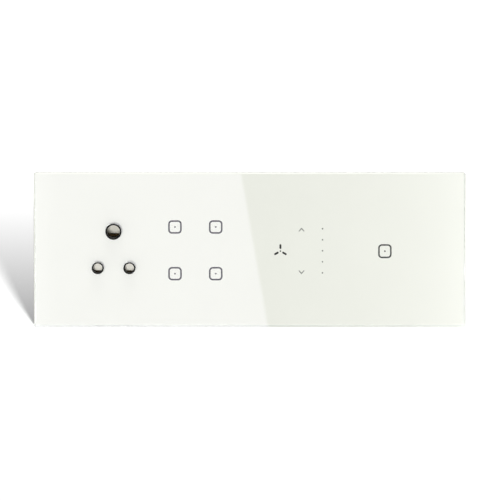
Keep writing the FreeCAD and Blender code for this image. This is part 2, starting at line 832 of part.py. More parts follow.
def outlet_rear_cover():
    """The rear cover. Its three tubes hold the terminals down and let a screwdriver in."""
    back = outlet_depth + rear_cover_thickness
    cover = slab(outlet_x, 0, body_width, body_height, outlet_depth, back, body_bevel)
    cover = cover.makeChamfer(body_chamfer, edges_at(cover, back))
    places = terminal_screw_places()
    tubes = [slab(x, z, terminal_size, terminal_size, start, outlet_depth) for x, z, start in places]
    cuts = [polygon_y(x, z, access_hole_radius, start - 1, back + 1, screw_sides) for x, z, start in places]
    for x in evenly(2, 2 * case_screw_offset, outlet_x):
        cuts.append(polygon_y(x, 0, case_screw_radius + case_screw_clearance, outlet_depth - 1, back + 1,
                              screw_sides))
    return cover.fuse(tubes).cut(cuts).removeSplitter()


def outlet_case_screws():
    """Two long screws from the rear into the cover's bosses, which hold the outlet together."""
    back = outlet_depth + rear_cover_thickness
    tip = cover_inner + cover_wall + case_boss_floor
    return [slotted_screw(x, 0, case_screw_radius - thread_play, tip, case_screw_head_radius, back,
                          back + case_screw_head_height, screw_sides)
            for x in evenly(2, 2 * case_screw_offset, outlet_x)]


# Touch modules

def block_half_width(poles, pitch):
    return poles * pitch / 2 + terminal_end_wall


def leg_slots(x):
    """The slots in a touch module's box that its cover's legs hook into."""
    half = leg_width / 2 + window_clearance
    front = leg_hook_front - latch_gap
    back = leg_hook_front + leg_hook_length + window_clearance
    return [box((x - half, x + half), (front, back), (side * (inner_z - 1), side * body_height))
            for side in (1, -1)]


def module_box(x, poles, pitch):
    """A touch module's rear box, with a notch at the lower rear for its terminal block."""
    half = block_half_width(poles, pitch) + terminal_fit
    wide = half + body_wall
    narrow = half - body_wall
    top = block_low + terminal_block_height + terminal_fit
    cavity = slab(x, 0, 2 * inner_x, 2 * inner_z, flange_front - 1, body_depth - body_wall)
    cavity = cavity.cut(box((x - wide, x + wide), (notch_front - body_wall, body_depth),
                            (-body_height, top + body_wall)))
    notch = box((x - half, x + half), (notch_front, body_depth + 1), (-body_height, top))
    pin_z = block_low + terminal_block_height / 2
    pin_slot = box((x - narrow, x + narrow), (notch_front - body_wall - 1, notch_front + 1),
                   (pin_z - solder_slot / 2, pin_z + solder_slot / 2))
    vents = [slab(vent_x, vent_rise, vent_width, vent_length, body_depth - body_wall - 1, body_depth + 1)
             for vent_x in evenly(vent_count, vent_pitch, x)]
    shell = flanged_body(x, body_depth, body_chamfer).cut([cavity] + vents + leg_slots(x))
    posts = []
    for sx in (1, -1):
        for sz in (1, -1):
            posts.append(box((x + sx * (inner_x - post_size), x + sx * (inner_x + body_wall / 2)),
                             (power_board_y + power_board_thickness, body_depth - body_wall / 2),
                             (sz * (inner_z - post_size), sz * (inner_z + body_wall / 2))))
    return shell.fuse(posts).cut([notch, pin_slot]).removeSplitter()


def cover_legs(x):
    """Two legs, above and below, with a hook for the box and an end that bears on the power board."""
    outer = inner_z - leg_gap
    inner = outer - leg_thickness
    hook = outer + leg_hook
    root = cover_inner - cover_wall / 2
    profile = [(root, inner), (leg_end, inner), (leg_end, outer), (leg_hook_front + leg_hook_length, outer),
               (leg_hook_front + latch_flat, hook), (leg_hook_front, hook), (leg_hook_front, outer),
               (root, outer)]
    return [prism_x([(y, side * z) for y, z in profile], x - leg_width / 2, x + leg_width / 2)
            for side in (1, -1)]


def module_cover(x, pads, lamp_slot):
    """A touch module's cover, with a window for each pad and one slot for a column of lamps."""
    cuts = []
    for px, pz, size in pads:
        opening = size + 2 * pad_hole_gap
        cuts.append(slab(px, pz, opening, opening, cover_front - 1, cover_inner + 0.5))
    return cap(x).fuse(cover_legs(x)).cut(cuts + lamp_slot).removeSplitter()


def touch_board(x, chips):
    """The touch board, clamped between cover and flange, with its chips on the rear."""
    width = cover_width - 2 * cover_skirt - 2 * board_gap
    height = cover_height - 2 * cover_skirt - 2 * board_gap
    board = slab(x, 0, width, height, cover_inner, flange_front)
    half = leg_width / 2 + board_gap
    low = inner_z - leg_gap - leg_thickness - board_gap
    notches = [box((x - half, x + half), (cover_inner - 1, flange_front + 1),
                   (side * low, side * cover_height))
               for side in (1, -1)]
    chip_back = flange_front + chip_height
    return [board.cut(notches)] + [slab(x + dx, dz, chip_size, chip_size, flange_front, chip_back)
                                   for dx, dz in chips]


def touch_pads(places):
    """Foam pads that carry the finger's field from the board to the glass, each with a window."""
    pads = []
    for x, z, size in places:
        pad = slab(x, z, size, size, print_back + pad_gap, cover_inner)
        pads.append(pad.cut(slab(x, z, pad_window, pad_window, print_back - 1, cover_inner + 1)))
    return pads


def lamps(places):
    """Small lamps on the touch board, under the dots of the glass."""
    return [slab(x, z, lamp_size, lamp_size, cover_inner - lamp_height, cover_inner) for x, z in places]


def power_board(x):
    """The board that carries the relays and the supply, on four posts of the box."""
    return slab(x, 0, 2 * (inner_x - board_gap), 2 * (inner_z - board_gap), power_board_y,
                power_board_y + power_board_thickness)


def on_power_board(x, z, size):
    """A block that stands on the power board's front face."""
    width, height, length = size
    return slab(x, z, width, length, power_board_y - height, power_board_y)


def relays(x, count):
    return [on_power_board(rx, relay_z, relay_size) for rx in evenly(count, relay_size[0] + relay_gap, x)]


def transformer(x, z):
    """A small mains transformer: its coil, and its core round the middle."""
    width, height, length = transformer_size
    coil = on_power_board(x, z, (width - 2 * coil_inset, height - coil_inset, length))
    return coil.fuse(on_power_board(x, z, (width, height, transformer_core))).removeSplitter()


def can_capacitor(x, z):
    """A can that stands on the power board."""
    top = power_board_y - capacitor_height
    return polygon_y(x, z, capacitor_radius, top, power_board_y, capacitor_sides)


def board_header(x):
    """The pins that join the two boards, with an insulator on each."""
    hx = x + header_x
    length = header_pins * header_pitch
    front = slab(hx, header_z, header_body, length, flange_front, flange_front + header_body)
    rear = slab(hx, header_z, header_body, length, power_board_y - header_body, power_board_y)
    pins = [slab(hx, z, header_pin, header_pin, flange_front, power_board_y)
            for z in evenly(header_pins, header_pitch, header_z)]
    return front.fuse([rear] + pins).removeSplitter()


def terminal_block(x, poles, pitch):
    """A row of screw terminals: wires enter from below, screws face the rear."""
    half = block_half_width(poles, pitch)
    top = block_low + terminal_block_height
    side = [(block_front, block_low), (block_back - terminal_chamfer, block_low),
            (block_back, block_low + terminal_chamfer), (block_back, top), (block_front, top)]
    cuts, pins = [], []
    for px in evenly(poles, pitch, x):
        cuts.append(polygon_y(px, clamp_z, clamp_well_radius, clamp_y, block_back + 1, block_screw_sides))
        cuts.append(box((px - wire_entry / 2, px + wire_entry / 2),
                        (clamp_y - wire_entry / 2, clamp_y + wire_entry / 2),
                        (block_low - 1, block_low + wire_entry_depth)))
        pins.append(slab(px, block_low + terminal_block_height / 2, solder_pin, solder_pin,
                         power_board_y + power_board_thickness, block_front))
    return prism_x(side, x - half, x + half).cut(cuts).fuse(pins)


def terminal_clamps(x, poles, pitch):
    """Each pole's screw and the cage that it draws up round the wire."""
    half = wire_entry / 2 - cage_play
    bore = half - cage_wall
    low = block_low + cage_inset
    high = block_low + wire_entry_depth - cage_play
    head = block_back - block_screw_recess
    made = []
    for px in evenly(poles, pitch, x):
        screw = polygon_y(px, clamp_z, block_screw_radius, clamp_y + half, head, block_screw_sides)
        made.append(screw.cut(screw_slot_cut(px, clamp_z, block_screw_radius, head)))
        cage = box((px - half, px + half), (clamp_y - half, clamp_y + half), (low, high))
        hole = box((px - bore, px + bore), (clamp_y - bore, clamp_y + bore), (low - 1, high + 1))
        made.append(cage.cut(hole))
    return made


def touch_module(name, x, pads, poles, pitch, chips, levels=()):
    """The pieces that every touch module has, under their node names."""
    lamp_slot = []
    if levels:
        height = levels[-1][1] - levels[0][1] + level_slot_width
        lamp_slot.append(slab(level_x, 0, level_slot_width, height, cover_front - 1, cover_inner + 0.5))
    return {
        name + "_cover": module_cover(x, pads, lamp_slot),
        name + "_box": module_box(x, poles, pitch),
        name + "_touch_board": touch_board(x, chips),
        name + "_touch_pads": touch_pads(pads),
        name + "_lamps": lamps([(px, pz) for px, pz, _ in pads] + list(levels)),
        name + "_power_board": power_board(x),
        name + "_board_header": board_header(x),
        name + "_terminal_block": terminal_block(x, poles, pitch),
        name + "_terminal_clamps": terminal_clamps(x, poles, pitch),
    }


def light_module():
    """Four touch switches for lights: one relay each."""
    pads = [(x, z, pad_size) for z in light_mark_z for x in light_mark_x]
    made = touch_module("light", light_x, pads, 6, small_terminal_pitch, [(-2.0, 0.0), (8.0, 0.0)])
    width, _, length = transformer_size
    made["light_relays"] = relays(light_x, relays_in_row)
    made["light_transformer"] = transformer(light_x - inner_x + light_transformer_gap + width / 2,
                                            relays_low - light_transformer_relay_gap - length / 2)
    made["light_capacitor"] = can_capacitor(light_x + light_capacitor_offset,
                                            relays_low - light_capacitor_relay_gap - capacitor_radius)
    return made


def fan_module():
    """The fan's switch and speed control: relays that switch capacitors in series with the fan."""
    pads = [(fan_mark_x, 0.0, pad_size)]
    pads += [(speed_mark_x, z, small_pad_size) for z in (speed_mark_z, -speed_mark_z)]
    levels = [(level_x, z) for z in evenly(level_count, level_pitch)]
    made = touch_module("fan", fan_x, pads, 3, small_terminal_pitch, [(0.0, 0.0)], levels)
    made["fan_relays"] = relays(fan_x, relays_in_row - 1)
    width, _, length = film_capacitor_size
    first_x = fan_x - inner_x + film_capacitor_wall_gap + width / 2
    z = relays_low - film_capacitor_relay_gap - length / 2
    made["fan_speed_capacitors"] = [on_power_board(x, z, film_capacitor_size)
                                    for x in (first_x, first_x + width + film_capacitor_gap)]
    return made


def heavy_module():
    """The switch for a heavy load: one large relay."""
    pads = [(heavy_mark_x, 0.0, pad_size)]
    made = touch_module("heavy", heavy_x, pads, 3, large_terminal_pitch, [(-10.0, 10.0)])
    width, _, length = power_relay_size
    relay_x = heavy_x - inner_x + power_relay_wall_gap + width / 2
    z = inner_z - power_relay_top_gap - length / 2
    made["heavy_relay"] = on_power_board(relay_x, z, power_relay_size)
    capacitor_x = relay_x + width / 2 + heavy_capacitor_relay_gap + capacitor_radius
    made["heavy_capacitor"] = can_capacitor(capacitor_x, z - heavy_capacitor_drop)
    transformer_x = heavy_x - inner_x + heavy_transformer_gap + transformer_size[0] / 2
    transformer_z = z - length / 2 - heavy_transformer_relay_gap - transformer_size[2] / 2
    made["heavy_transformer"] = transformer(transformer_x, transformer_z)
    return made


def every_part():
    """Every node's name and its shape, or the list of its solids."""
    made = {
        "glass_panel": glass_panel(),
        "back_print": back_print(),
        "bonding_tape": bonding_tape(),
        "carrier_frame": carrier_frame(),
        "mounting_grid": mounting_grid(),
        "retaining_springs": retaining_springs(),
        "outlet_cover": outlet_cover(),
        "outlet_base": outlet_base(),
        "pin_bushes": pin_bushes(),
        "outlet_shutter": outlet_shutter(),
        "shutter_spring": shutter_spring(),
        "outlet_terminal_screws": outlet_terminal_screws(),
        "outlet_rear_cover": outlet_rear_cover(),
        "outlet_case_screws": outlet_case_screws(),
    }
    for name, *place in contact_places():
        made[name] = contact(*place)
    made.update(light_module())
    made.update(fan_module())
    made.update(heavy_module())
    return made


def main():
    os.makedirs("parts", exist_ok=True)
    for name, shape in every_part().items():
        if isinstance(shape, list):
            shape = Part.makeCompound(shape) if len(shape) > 1 else shape[0]
        if not shape.isValid() or not shape.Solids:
            raise ValueError(name + " isn't a valid solid")
        shape.exportStep(os.path.join("parts", name + ".step"))
        print(name, len(shape.Solids), "solids", round(shape.Volume, 1), "mm3")


main()
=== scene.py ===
# %% [markdown]
# # A glass switch and socket plate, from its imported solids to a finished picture
#
# The object is a flush wall plate: a sheet of glass printed white from behind, with a three-pin outlet at
# the left and touch switches to the right of it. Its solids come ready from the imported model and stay
# where they are. This lesson gives them finishes, adds the thin prints that say where to touch, remakes
# the few pieces that are too plain as solids, and sets up the floor, the lamps and the camera.
# Everything is in metres. X runs to the right, Y into the wall and Z up, and the glass faces -Y.

# %% Load the frame
import json
import math

import bmesh
import bpy
from mathutils import Matrix, Vector


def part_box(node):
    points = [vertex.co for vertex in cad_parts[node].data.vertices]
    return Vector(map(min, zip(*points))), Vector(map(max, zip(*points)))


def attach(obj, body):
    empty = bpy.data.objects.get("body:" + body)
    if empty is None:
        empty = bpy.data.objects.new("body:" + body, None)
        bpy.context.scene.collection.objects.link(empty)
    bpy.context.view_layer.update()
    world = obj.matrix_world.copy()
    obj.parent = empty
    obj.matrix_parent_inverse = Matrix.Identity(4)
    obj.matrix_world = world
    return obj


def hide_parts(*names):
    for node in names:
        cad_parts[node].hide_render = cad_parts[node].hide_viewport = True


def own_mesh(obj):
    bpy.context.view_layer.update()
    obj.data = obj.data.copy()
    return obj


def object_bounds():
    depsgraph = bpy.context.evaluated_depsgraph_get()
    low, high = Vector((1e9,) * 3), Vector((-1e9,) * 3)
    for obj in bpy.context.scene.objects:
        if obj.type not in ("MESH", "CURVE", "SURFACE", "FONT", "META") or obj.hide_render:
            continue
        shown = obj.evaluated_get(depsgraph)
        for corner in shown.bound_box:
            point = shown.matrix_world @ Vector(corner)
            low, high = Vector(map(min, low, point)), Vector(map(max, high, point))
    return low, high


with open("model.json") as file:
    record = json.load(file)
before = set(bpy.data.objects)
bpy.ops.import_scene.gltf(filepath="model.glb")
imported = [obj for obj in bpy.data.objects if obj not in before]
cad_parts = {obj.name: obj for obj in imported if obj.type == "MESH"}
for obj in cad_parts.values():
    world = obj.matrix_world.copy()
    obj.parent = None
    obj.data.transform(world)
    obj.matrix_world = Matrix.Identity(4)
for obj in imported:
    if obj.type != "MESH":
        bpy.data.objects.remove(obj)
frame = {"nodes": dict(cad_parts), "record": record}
nodes = frame["nodes"]
cad_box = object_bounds()
mm = 0.001
print("nodes", len(nodes), "box", [round(v, 4) for v in (*cad_box[0], *cad_box[1])])

# %% [markdown]
# ## Nodes and groups
#
# A finish is a small network of shader nodes. Short helpers keep the networks readable: one makes any
# node and fills in its inputs, and the others stand for the kinds that come again and again, such as a
# noise or one step of arithmetic. The last one starts a group with named inputs and outputs. A group is
# built once and then placed in every material that needs its effect, each time with other numbers. It
# could also be copied into each material, but then a change would have to be made twenty times.

# %% A helper for any node
def fill(tree, node, values):
    """Gives a node's inputs, by name or place, their values or links."""
    for name, value in values.items():
        if isinstance(value, bpy.types.NodeSocket):
            tree.links.new(value, node.inputs[name])
        else:
            node.inputs[name].default_value = value


def add_node(tree, kind, values=None, **settings):
    """A new node of that kind, with its settings and its inputs."""
    node = tree.nodes.new(kind)
    for name, value in settings.items():
        setattr(node, name, value)
    fill(tree, node, values or {})
    return node


# %% Helpers for arithmetic
def calculate(tree, operation, *terms):
    """What a Math node makes of its terms, each a number or a socket."""
    return add_node(tree, "ShaderNodeMath", dict(enumerate(terms)), operation=operation).outputs[0]


def calculate_vector(tree, operation, first, second):
    """What a Vector Math node makes of two colours or vectors."""
    return add_node(tree, "ShaderNodeVectorMath", {0: first, 1: second}, operation=operation).outputs[0]


def times(tree, colour, factor):
    """A colour times one number."""
    return add_node(tree, "ShaderNodeVectorMath", {0: colour, "Scale": factor},
                    operation="SCALE").outputs[0]


def map_range(tree, value, start, end, low=0.0, high=1.0, curve="LINEAR"):
    """A number that goes from low to high while the value goes from start to end."""
    return add_node(tree, "ShaderNodeMapRange",
                    {"Value": value, "From Min": start, "From Max": end, "To Min": low, "To Max": high},
                    interpolation_type=curve).outputs[0]


# %% Helpers for mixes, noise and bumps
def mix_colours(tree, factor, first, second):
    """The first colour where the factor is 0, the second where it is 1."""
    return add_node(tree, "ShaderNodeMix", {0: factor, 6: first, 7: second}, data_type="RGBA").outputs[2]


def mix_shaders(tree, factor, first, second):
    """The first shader where the factor is 0, the second where it is 1."""
    return add_node(tree, "ShaderNodeMixShader", {0: factor, 1: first, 2: second}).outputs[0]


def object_place(tree):
    """Object coordinates, which are metres on every piece."""
    return add_node(tree, "ShaderNodeTexCoord").outputs["Object"]


def noise(tree, place, scale, detail):
    """A soft noise about 0.5, with that many patches to a metre."""
    return add_node(tree, "ShaderNodeTexNoise",
                    {"Vector": place, "Scale": scale, "Detail": detail}).outputs["Fac"]


def bump(tree, height, depth, strength=1.0):
    """The normals of a surface whose height goes up and down by that depth."""
    return add_node(tree, "ShaderNodeBump",
                    {"Height": height, "Strength": strength, "Distance": depth}).outputs[0]


# %% A helper for groups
def start_group(name, inputs, outputs):
    """A node group with named inputs and outputs: its tree, what it is given and its end node."""
    tree = bpy.data.node_groups.new(name, "ShaderNodeTree")
    for label, kind, value in inputs:
        tree.interface.new_socket(label, in_out="INPUT", socket_type=kind).default_value = value
    for label, kind in outputs:
        tree.interface.new_socket(label, in_out="OUTPUT", socket_type=kind)
    return tree, tree.nodes.new("NodeGroupInput").outputs, tree.nodes.new("NodeGroupOutput")


NUMBER, COLOUR, VECTOR = "NodeSocketFloat", "NodeSocketColor", "NodeSocketVector"

# %% [markdown]
# ## The surface of a moulding
#
# Every plastic piece came out of a polished or lightly eroded steel mould. It shows a fine grain, slow
# changes of shade where the melt flowed, and a gloss that isn't quite even. Three noises do this: a fine
# one for the bump, a slow one for the shade and a middle one for the roughness. They read Object
# coordinates, which are metres here, so a scale of 3000 is a grain of about a third of a millimetre. A
# picture of grain would do too, but each piece would have to be unwrapped for it.

# %% Group: moulded surface
surface_outputs = [("Colour", COLOUR), ("Roughness", NUMBER), ("Normal", VECTOR)]
flow_low, flow_high = 0.3, 0.7


def uneven_gloss(tree, given, pattern):
    """The group's Roughness, with its Roughness Spread times a pattern about 0.5."""
    off_middle = calculate(tree, "SUBTRACT", pattern, 0.5)
    return calculate(tree, "MULTIPLY_ADD", off_middle, given["Roughness Spread"], given["Roughness"])


def moulded_surface_group():
    tree, given, end = start_group(
        "moulded surface",
        [("Colour", COLOUR, (0.8, 0.8, 0.8, 1)), ("Shade Spread", NUMBER, 0.03),
         ("Grain Scale", NUMBER, 3000.0), ("Grain Depth", NUMBER, 0.01 * mm),
         ("Roughness", NUMBER, 0.5), ("Roughness Spread", NUMBER, 0.08)],
        surface_outputs)
    place = object_place(tree)
    flow = noise(tree, place, scale=45.0, detail=3.0)
    darkest = calculate(tree, "SUBTRACT", 1.0, given["Shade Spread"])
    shade = map_range(tree, flow, flow_low, flow_high, darkest, 1.0)
    patches = noise(tree, place, scale=260.0, detail=2.0)
    grain = noise(tree, place, given["Grain Scale"], detail=2.0)
    fill(tree, end, {"Colour": times(tree, given["Colour"], shade),
                     "Roughness": uneven_gloss(tree, given, patches),
                     "Normal": bump(tree, grain, given["Grain Depth"])})
    return tree


# %% [markdown]
# ## The surface of pressed and turned metal
#
# Brass contacts and zinc-plated screws and springs have fine marks drawn out along one direction, small
# dull spots and a slight change of colour. Noise on stretched coordinates gives the marks: the stretch is
# an input, so that a strip can be marked along its length and a turned screw round its axis. The spots
# come from a second noise, and a plain grey would look like painted plastic beside them.

# %% Group: metal surface
spots_begin, spots_full, most_dull = 0.45, 0.75, 0.6


def metal_surface_group():
    tree, given, end = start_group(
        "metal surface",
        [("Colour", COLOUR, (0.7, 0.7, 0.7, 1)), ("Dull Colour", COLOUR, (0.5, 0.5, 0.5, 1)),
         ("Stretch", VECTOR, (1.0, 12.0, 1.0)), ("Mark Scale", NUMBER, 900.0),
         ("Mark Depth", NUMBER, 0.006 * mm), ("Roughness", NUMBER, 0.3), ("Roughness Spread", NUMBER, 0.2)],
        surface_outputs)
    place = object_place(tree)
    drawn = calculate_vector(tree, "MULTIPLY", place, given["Stretch"])
    marks = noise(tree, drawn, given["Mark Scale"], detail=3.0)
    spots = noise(tree, place, scale=330.0, detail=4.0)
    dull = map_range(tree, spots, spots_begin, spots_full, 0.0, most_dull)
    fill(tree, end, {"Colour": mix_colours(tree, dull, given["Colour"], given["Dull Colour"]),
                     "Roughness": uneven_gloss(tree, given, marks),
                     "Normal": bump(tree, marks, given["Mark Depth"])})
    return tree


moulded_surface = moulded_surface_group()
metal_surface = metal_surface_group()
print("groups", [group.name for group in bpy.data.node_groups])

# %% [markdown]
# ## Finishes made with the groups
#
# A plastic and a metal each need one Principled shader with a group in front of it. Numbers that are the
# same all over, such as the metal's Metallic of 1 or a plastic's specular level, go straight on the
# shader, where any program that reads the model finds them.
#
# The brass is painted shade: far darker than clean brass, and rough. Only the three contacts deep in the
# outlet are of brass, and clean brass would glow like gold in the dark of the pin holes.

# %% Helpers for plastic and metal
finishes = {}


def start_finish(name):
    """A material, kept under its name: its tree of nodes and its Principled shader."""
    material = bpy.data.materials.new(name)
    material.use_nodes = True
    finishes[name] = material
    return material.node_tree, material.node_tree.nodes["Principled BSDF"]


def group_finish(name, group, group_values, shader_values):
    """A finish whose colour, roughness and normals come from a group."""
    tree, shader = start_finish(name)
    surface = add_node(tree, "ShaderNodeGroup", group_values, node_tree=group).outputs
    fill(tree, shader, {"Base Color": surface["Colour"], "Roughness": surface["Roughness"],
                        "Normal": surface["Normal"], **shader_values})


def plastic(name, colour, roughness, spread=0.03, grain=3000.0, depth=0.01 * mm, **shader_values):
    group_finish(name, moulded_surface,
                 {"Colour": (*colour, 1), "Shade Spread": spread, "Grain Scale": grain,
                  "Grain Depth": depth, "Roughness": roughness}, shader_values)


def metal(name, colour, dull, roughness, stretch=(1, 12, 1), scale=900.0):
    group_finish(name, metal_surface,
                 {"Colour": (*colour, 1), "Dull Colour": (*dull, 1), "Stretch": stretch,
                  "Mark Scale": scale, "Roughness": roughness}, {"Metallic": 1.0})


# %% Plastic and metal finishes
plastic("white_moulding", (0.80, 0.80, 0.78), roughness=0.42)
plastic("grey_moulding", (0.30, 0.31, 0.32), roughness=0.5, spread=0.06, depth=0.02 * mm)
plastic("ivory_moulding", (0.92, 0.90, 0.80), roughness=0.5, spread=0.04, grain=2200.0)
plastic("black_gloss", (0.008, 0.008, 0.008), roughness=0.2, spread=0.2, grain=1500.0, depth=0.002 * mm,
        **{"Specular IOR Level": 0.08})
plastic("black_moulding", (0.014, 0.014, 0.015), roughness=0.42, spread=0.15, depth=0.02 * mm)
plastic("relay_blue", (0.02, 0.07, 0.33), roughness=0.3, spread=0.1)
plastic("relay_black", (0.012, 0.012, 0.013), roughness=0.35, spread=0.15)
plastic("terminal_green", (0.03, 0.24, 0.07), roughness=0.38, spread=0.08)
plastic("film_yellow", (0.62, 0.36, 0.02), roughness=0.25, spread=0.1, grain=800.0)
plastic("coil_yellow", (0.66, 0.47, 0.03), roughness=0.3, spread=0.12, grain=500.0)
plastic("can_black", (0.015, 0.015, 0.03), roughness=0.3, spread=0.2, grain=900.0)
plastic("header_black", (0.02, 0.02, 0.02), roughness=0.45, spread=0.1)
plastic("lamp_resin", (0.85, 0.83, 0.70), roughness=0.2, spread=0.05)
# The brass colours are painted shade, darkened so that the contacts stay dark deep in the pin holes.
metal("brass", (0.22, 0.15, 0.07), (0.11, 0.08, 0.04), roughness=0.55)
metal("zinc_steel", (0.62, 0.63, 0.64), (0.42, 0.43, 0.43), roughness=0.32, stretch=(4, 1, 4), scale=1400.0)
metal("spring_steel", (0.50, 0.50, 0.51), (0.33, 0.32, 0.31), roughness=0.28, stretch=(1, 8, 8), scale=1100.0)
print("finishes", sorted(finishes))

# %% [markdown]
# ## Foam
#
# The glass is held by a strip of closed-cell foam tape, and soft conductive foam carries the touch from
# the glass to the boards. Foam is a packing of small bubbles, so Voronoi cells give both the bump and the
# darker pits between the cells, whose darker colour is painted shade. A noise would look like dust,
# because it has no walls between its patches. Foam has no gloss to speak of.

# %% Foam finishes
cell_depth = 0.06 * mm


def foam(name, colour, shaded_pit_colour, cell_scale):
    tree, shader = start_finish(name)
    place = object_place(tree)
    cells = add_node(tree, "ShaderNodeTexVoronoi", {"Vector": place, "Scale": cell_scale})
    cells = cells.outputs["Distance"]
    # The darker colour in the pits between the cells is painted shade.
    pits = calculate(tree, "MULTIPLY", cells, noise(tree, place, scale=90.0, detail=3.0))
    fill(tree, shader, {"Base Color": mix_colours(tree, pits, (*colour, 1), (*shaded_pit_colour, 1)),
                        "Normal": bump(tree, cells, cell_depth, strength=0.6),
                        "Roughness": 0.95, "Specular IOR Level": 0.2})


foam("foam_tape", (0.75, 0.75, 0.72), (0.40, 0.40, 0.38), cell_scale=2600.0)
foam("dark_foam", (0.035, 0.035, 0.037), (0.008, 0.008, 0.008), cell_scale=1500.0)
print("foams", [name for name in finishes if "foam" in name])

# %% [markdown]
# ## Circuit boards
#
# The boards are green because a solder mask covers the copper, and where copper runs under the mask, the
# green is lighter. Tracks run straight and turn at right angles, so the mortar of a brick pattern, shown
# only where a slow noise is high, looks like tracks. Small bright pads are the middles of the cells of a
# Voronoi pattern without its randomness, and a share of a cell says how large they are. Copper is only a
# few hundredths of a millimetre thick, so colour and bump are enough for it, and solids would only make
# the model heavy.

# %% Board finish
track_pitch = 1.27 * mm
track_width = 0.2 * mm
track_length = 14.5 * mm
track_share = 0.5
pads_to_a_metre = 260.0
pad_share = 0.16
pad_rarity = 0.6
copper_depth = 0.04 * mm
black, white = (0, 0, 0, 1), (1, 1, 1, 1)
mask_green, track_green, solder = (0.012, 0.13, 0.045, 1), (0.03, 0.25, 0.09, 1), (0.55, 0.56, 0.56, 1)


def board_finish(name):
    tree, shader = start_finish(name)
    place = object_place(tree)
    flat = add_node(tree, "ShaderNodeMapping", {"Vector": place, "Rotation": (math.radians(90), 0, 0)})
    flat = flat.outputs[0]
    bricks = add_node(tree, "ShaderNodeTexBrick",
                      {"Vector": flat, "Color1": black, "Color2": black, "Mortar": white, "Scale": 1.0,
                       "Mortar Size": track_width, "Mortar Smooth": 0.1, "Brick Width": track_length,
                       "Row Height": track_pitch})
    region = calculate(tree, "GREATER_THAN", noise(tree, place, scale=85.0, detail=0.0), track_share)
    tracks = calculate(tree, "MULTIPLY", bricks.outputs["Color"], region)
    dots = add_node(tree, "ShaderNodeTexVoronoi",
                    {"Vector": flat, "Scale": pads_to_a_metre, "Randomness": 0.0})
    round_pads = calculate(tree, "LESS_THAN", dots.outputs["Distance"], pad_share)
    few = calculate(tree, "GREATER_THAN", noise(tree, place, scale=190.0, detail=0.0), pad_rarity)
    pads = calculate(tree, "MULTIPLY", round_pads, few)
    masked = mix_colours(tree, tracks, mask_green, track_green)
    raised = calculate(tree, "ADD", tracks, pads)
    fill(tree, shader, {"Base Color": mix_colours(tree, pads, masked, solder), "Metallic": pads,
                        "Normal": bump(tree, raised, copper_depth), "Roughness": 0.3})


board_finish("green_board")
print("tracks", round(track_width / mm, 2), "mm wide,", round(track_pitch / mm, 2), "mm apart")

# %% [markdown]
# ## Glass that lets lamps through
#
# Clear glass is one Principled shader with Transmission Weight 1. Cycles finds lamps by shadow rays, and
# plain glass stops those, so the print behind it would be lit only by chance. The common cure is used
# here: shadow rays and rays that leave a dull surface meet a Transparent shader instead, and every other
# ray meets the glass. The green tint is slight, because one sees 4 mm of glass from the front.

# %% Glass finish
glass_tint = (0.955, 0.985, 0.955, 1)
clear_tint = (0.97, 0.985, 0.97, 1)
glass_ior = 1.52


def glass_finish(name):
    tree, shader = start_finish(name)
    fill(tree, shader, {"Base Color": glass_tint, "Roughness": 0.0, "IOR": glass_ior,
                        "Transmission Weight": 1.0})
    ray = add_node(tree, "ShaderNodeLightPath").outputs
    passes = calculate(tree, "MAXIMUM", ray["Is Shadow Ray"], ray["Is Diffuse Ray"])
    clear = add_node(tree, "ShaderNodeBsdfTransparent", {"Color": clear_tint}).outputs[0]
    fill(tree, tree.nodes["Material Output"],
         {"Surface": mix_shaders(tree, passes, shader.outputs[0], clear)})


glass_finish("clear_glass")
print("glass with an index of refraction of", glass_ior)

# %% [markdown]
# ## Prints
#
# The glass is printed from behind: first the dark signs, then a white coat over everything, fired on. It
# touches the glass, so it has no gloss of its own, and Specular IOR Level is 0. The white is a warm,
# slightly green white. A very slow noise keeps it from being one dead number.

# %% Print finishes
def print_finish(name, colour, spread=0.02):
    plastic(name, colour, roughness=0.6, spread=spread, grain=6000.0, depth=0.001 * mm,
            **{"Specular IOR Level": 0.0})


print_finish("white_enamel", (0.825, 0.815, 0.767), spread=0.012)
print_finish("dark_enamel", (0.008, 0.008, 0.007))
print_finish("pale_enamel", (0.08, 0.082, 0.077))
print("finishes in all", len(finishes))

# %% [markdown]
# ## Finishes on the solids
#
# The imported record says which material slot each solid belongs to. The finishes above have the slots'
# names, so one loop puts them on. A solid's mesh isn't touched.

# %% Assign the finishes
for entry in frame["record"]["subparts"]:
    solid = nodes[entry["node"]]
    solid.data.materials.clear()
    solid.data.materials.append(finishes[entry["material_slot"]])

# %% [markdown]
# ## From a bmesh to a piece
#
# New pieces are built in a bmesh by operators, in place, so that their objects stay at the origin. The
# helper make_piece closes the work: it merges double points, turns all faces outwards, writes the mesh,
# gives it a finish and a slot, and lets the piece ride on the body that carries it. All this could be
# written out for each piece, but then one of them would sooner or later miss a step.

# %% Helpers for pieces
front_plate, wall_unit = "front_plate", "wall_unit"
merge_distance = 1e-7


def into_scene(name, data):
    """A new object in the scene, at the origin, that holds the data."""
    holder = bpy.data.objects.new(name, data)
    bpy.context.scene.collection.objects.link(holder)
    return holder


def make_piece(name, bm, finish, body, smooth_angle=None):
    """An object from a bmesh that is finished and in place."""
    bmesh.ops.remove_doubles(bm, verts=bm.verts[:], dist=merge_distance)
    bmesh.ops.recalc_face_normals(bm, faces=bm.faces[:])
    mesh = bpy.data.meshes.new(name)
    bm.to_mesh(mesh)
    bm.free()
    mesh.materials.append(finishes[finish])
    if smooth_angle is not None:
        mesh.shade_smooth()
        mesh.set_sharp_from_angle(angle=math.radians(smooth_angle))
    piece = into_scene(name, mesh)
    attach(piece, body)
    print(name, "triangles", sum(len(p.vertices) - 2 for p in mesh.polygons))
    return piece


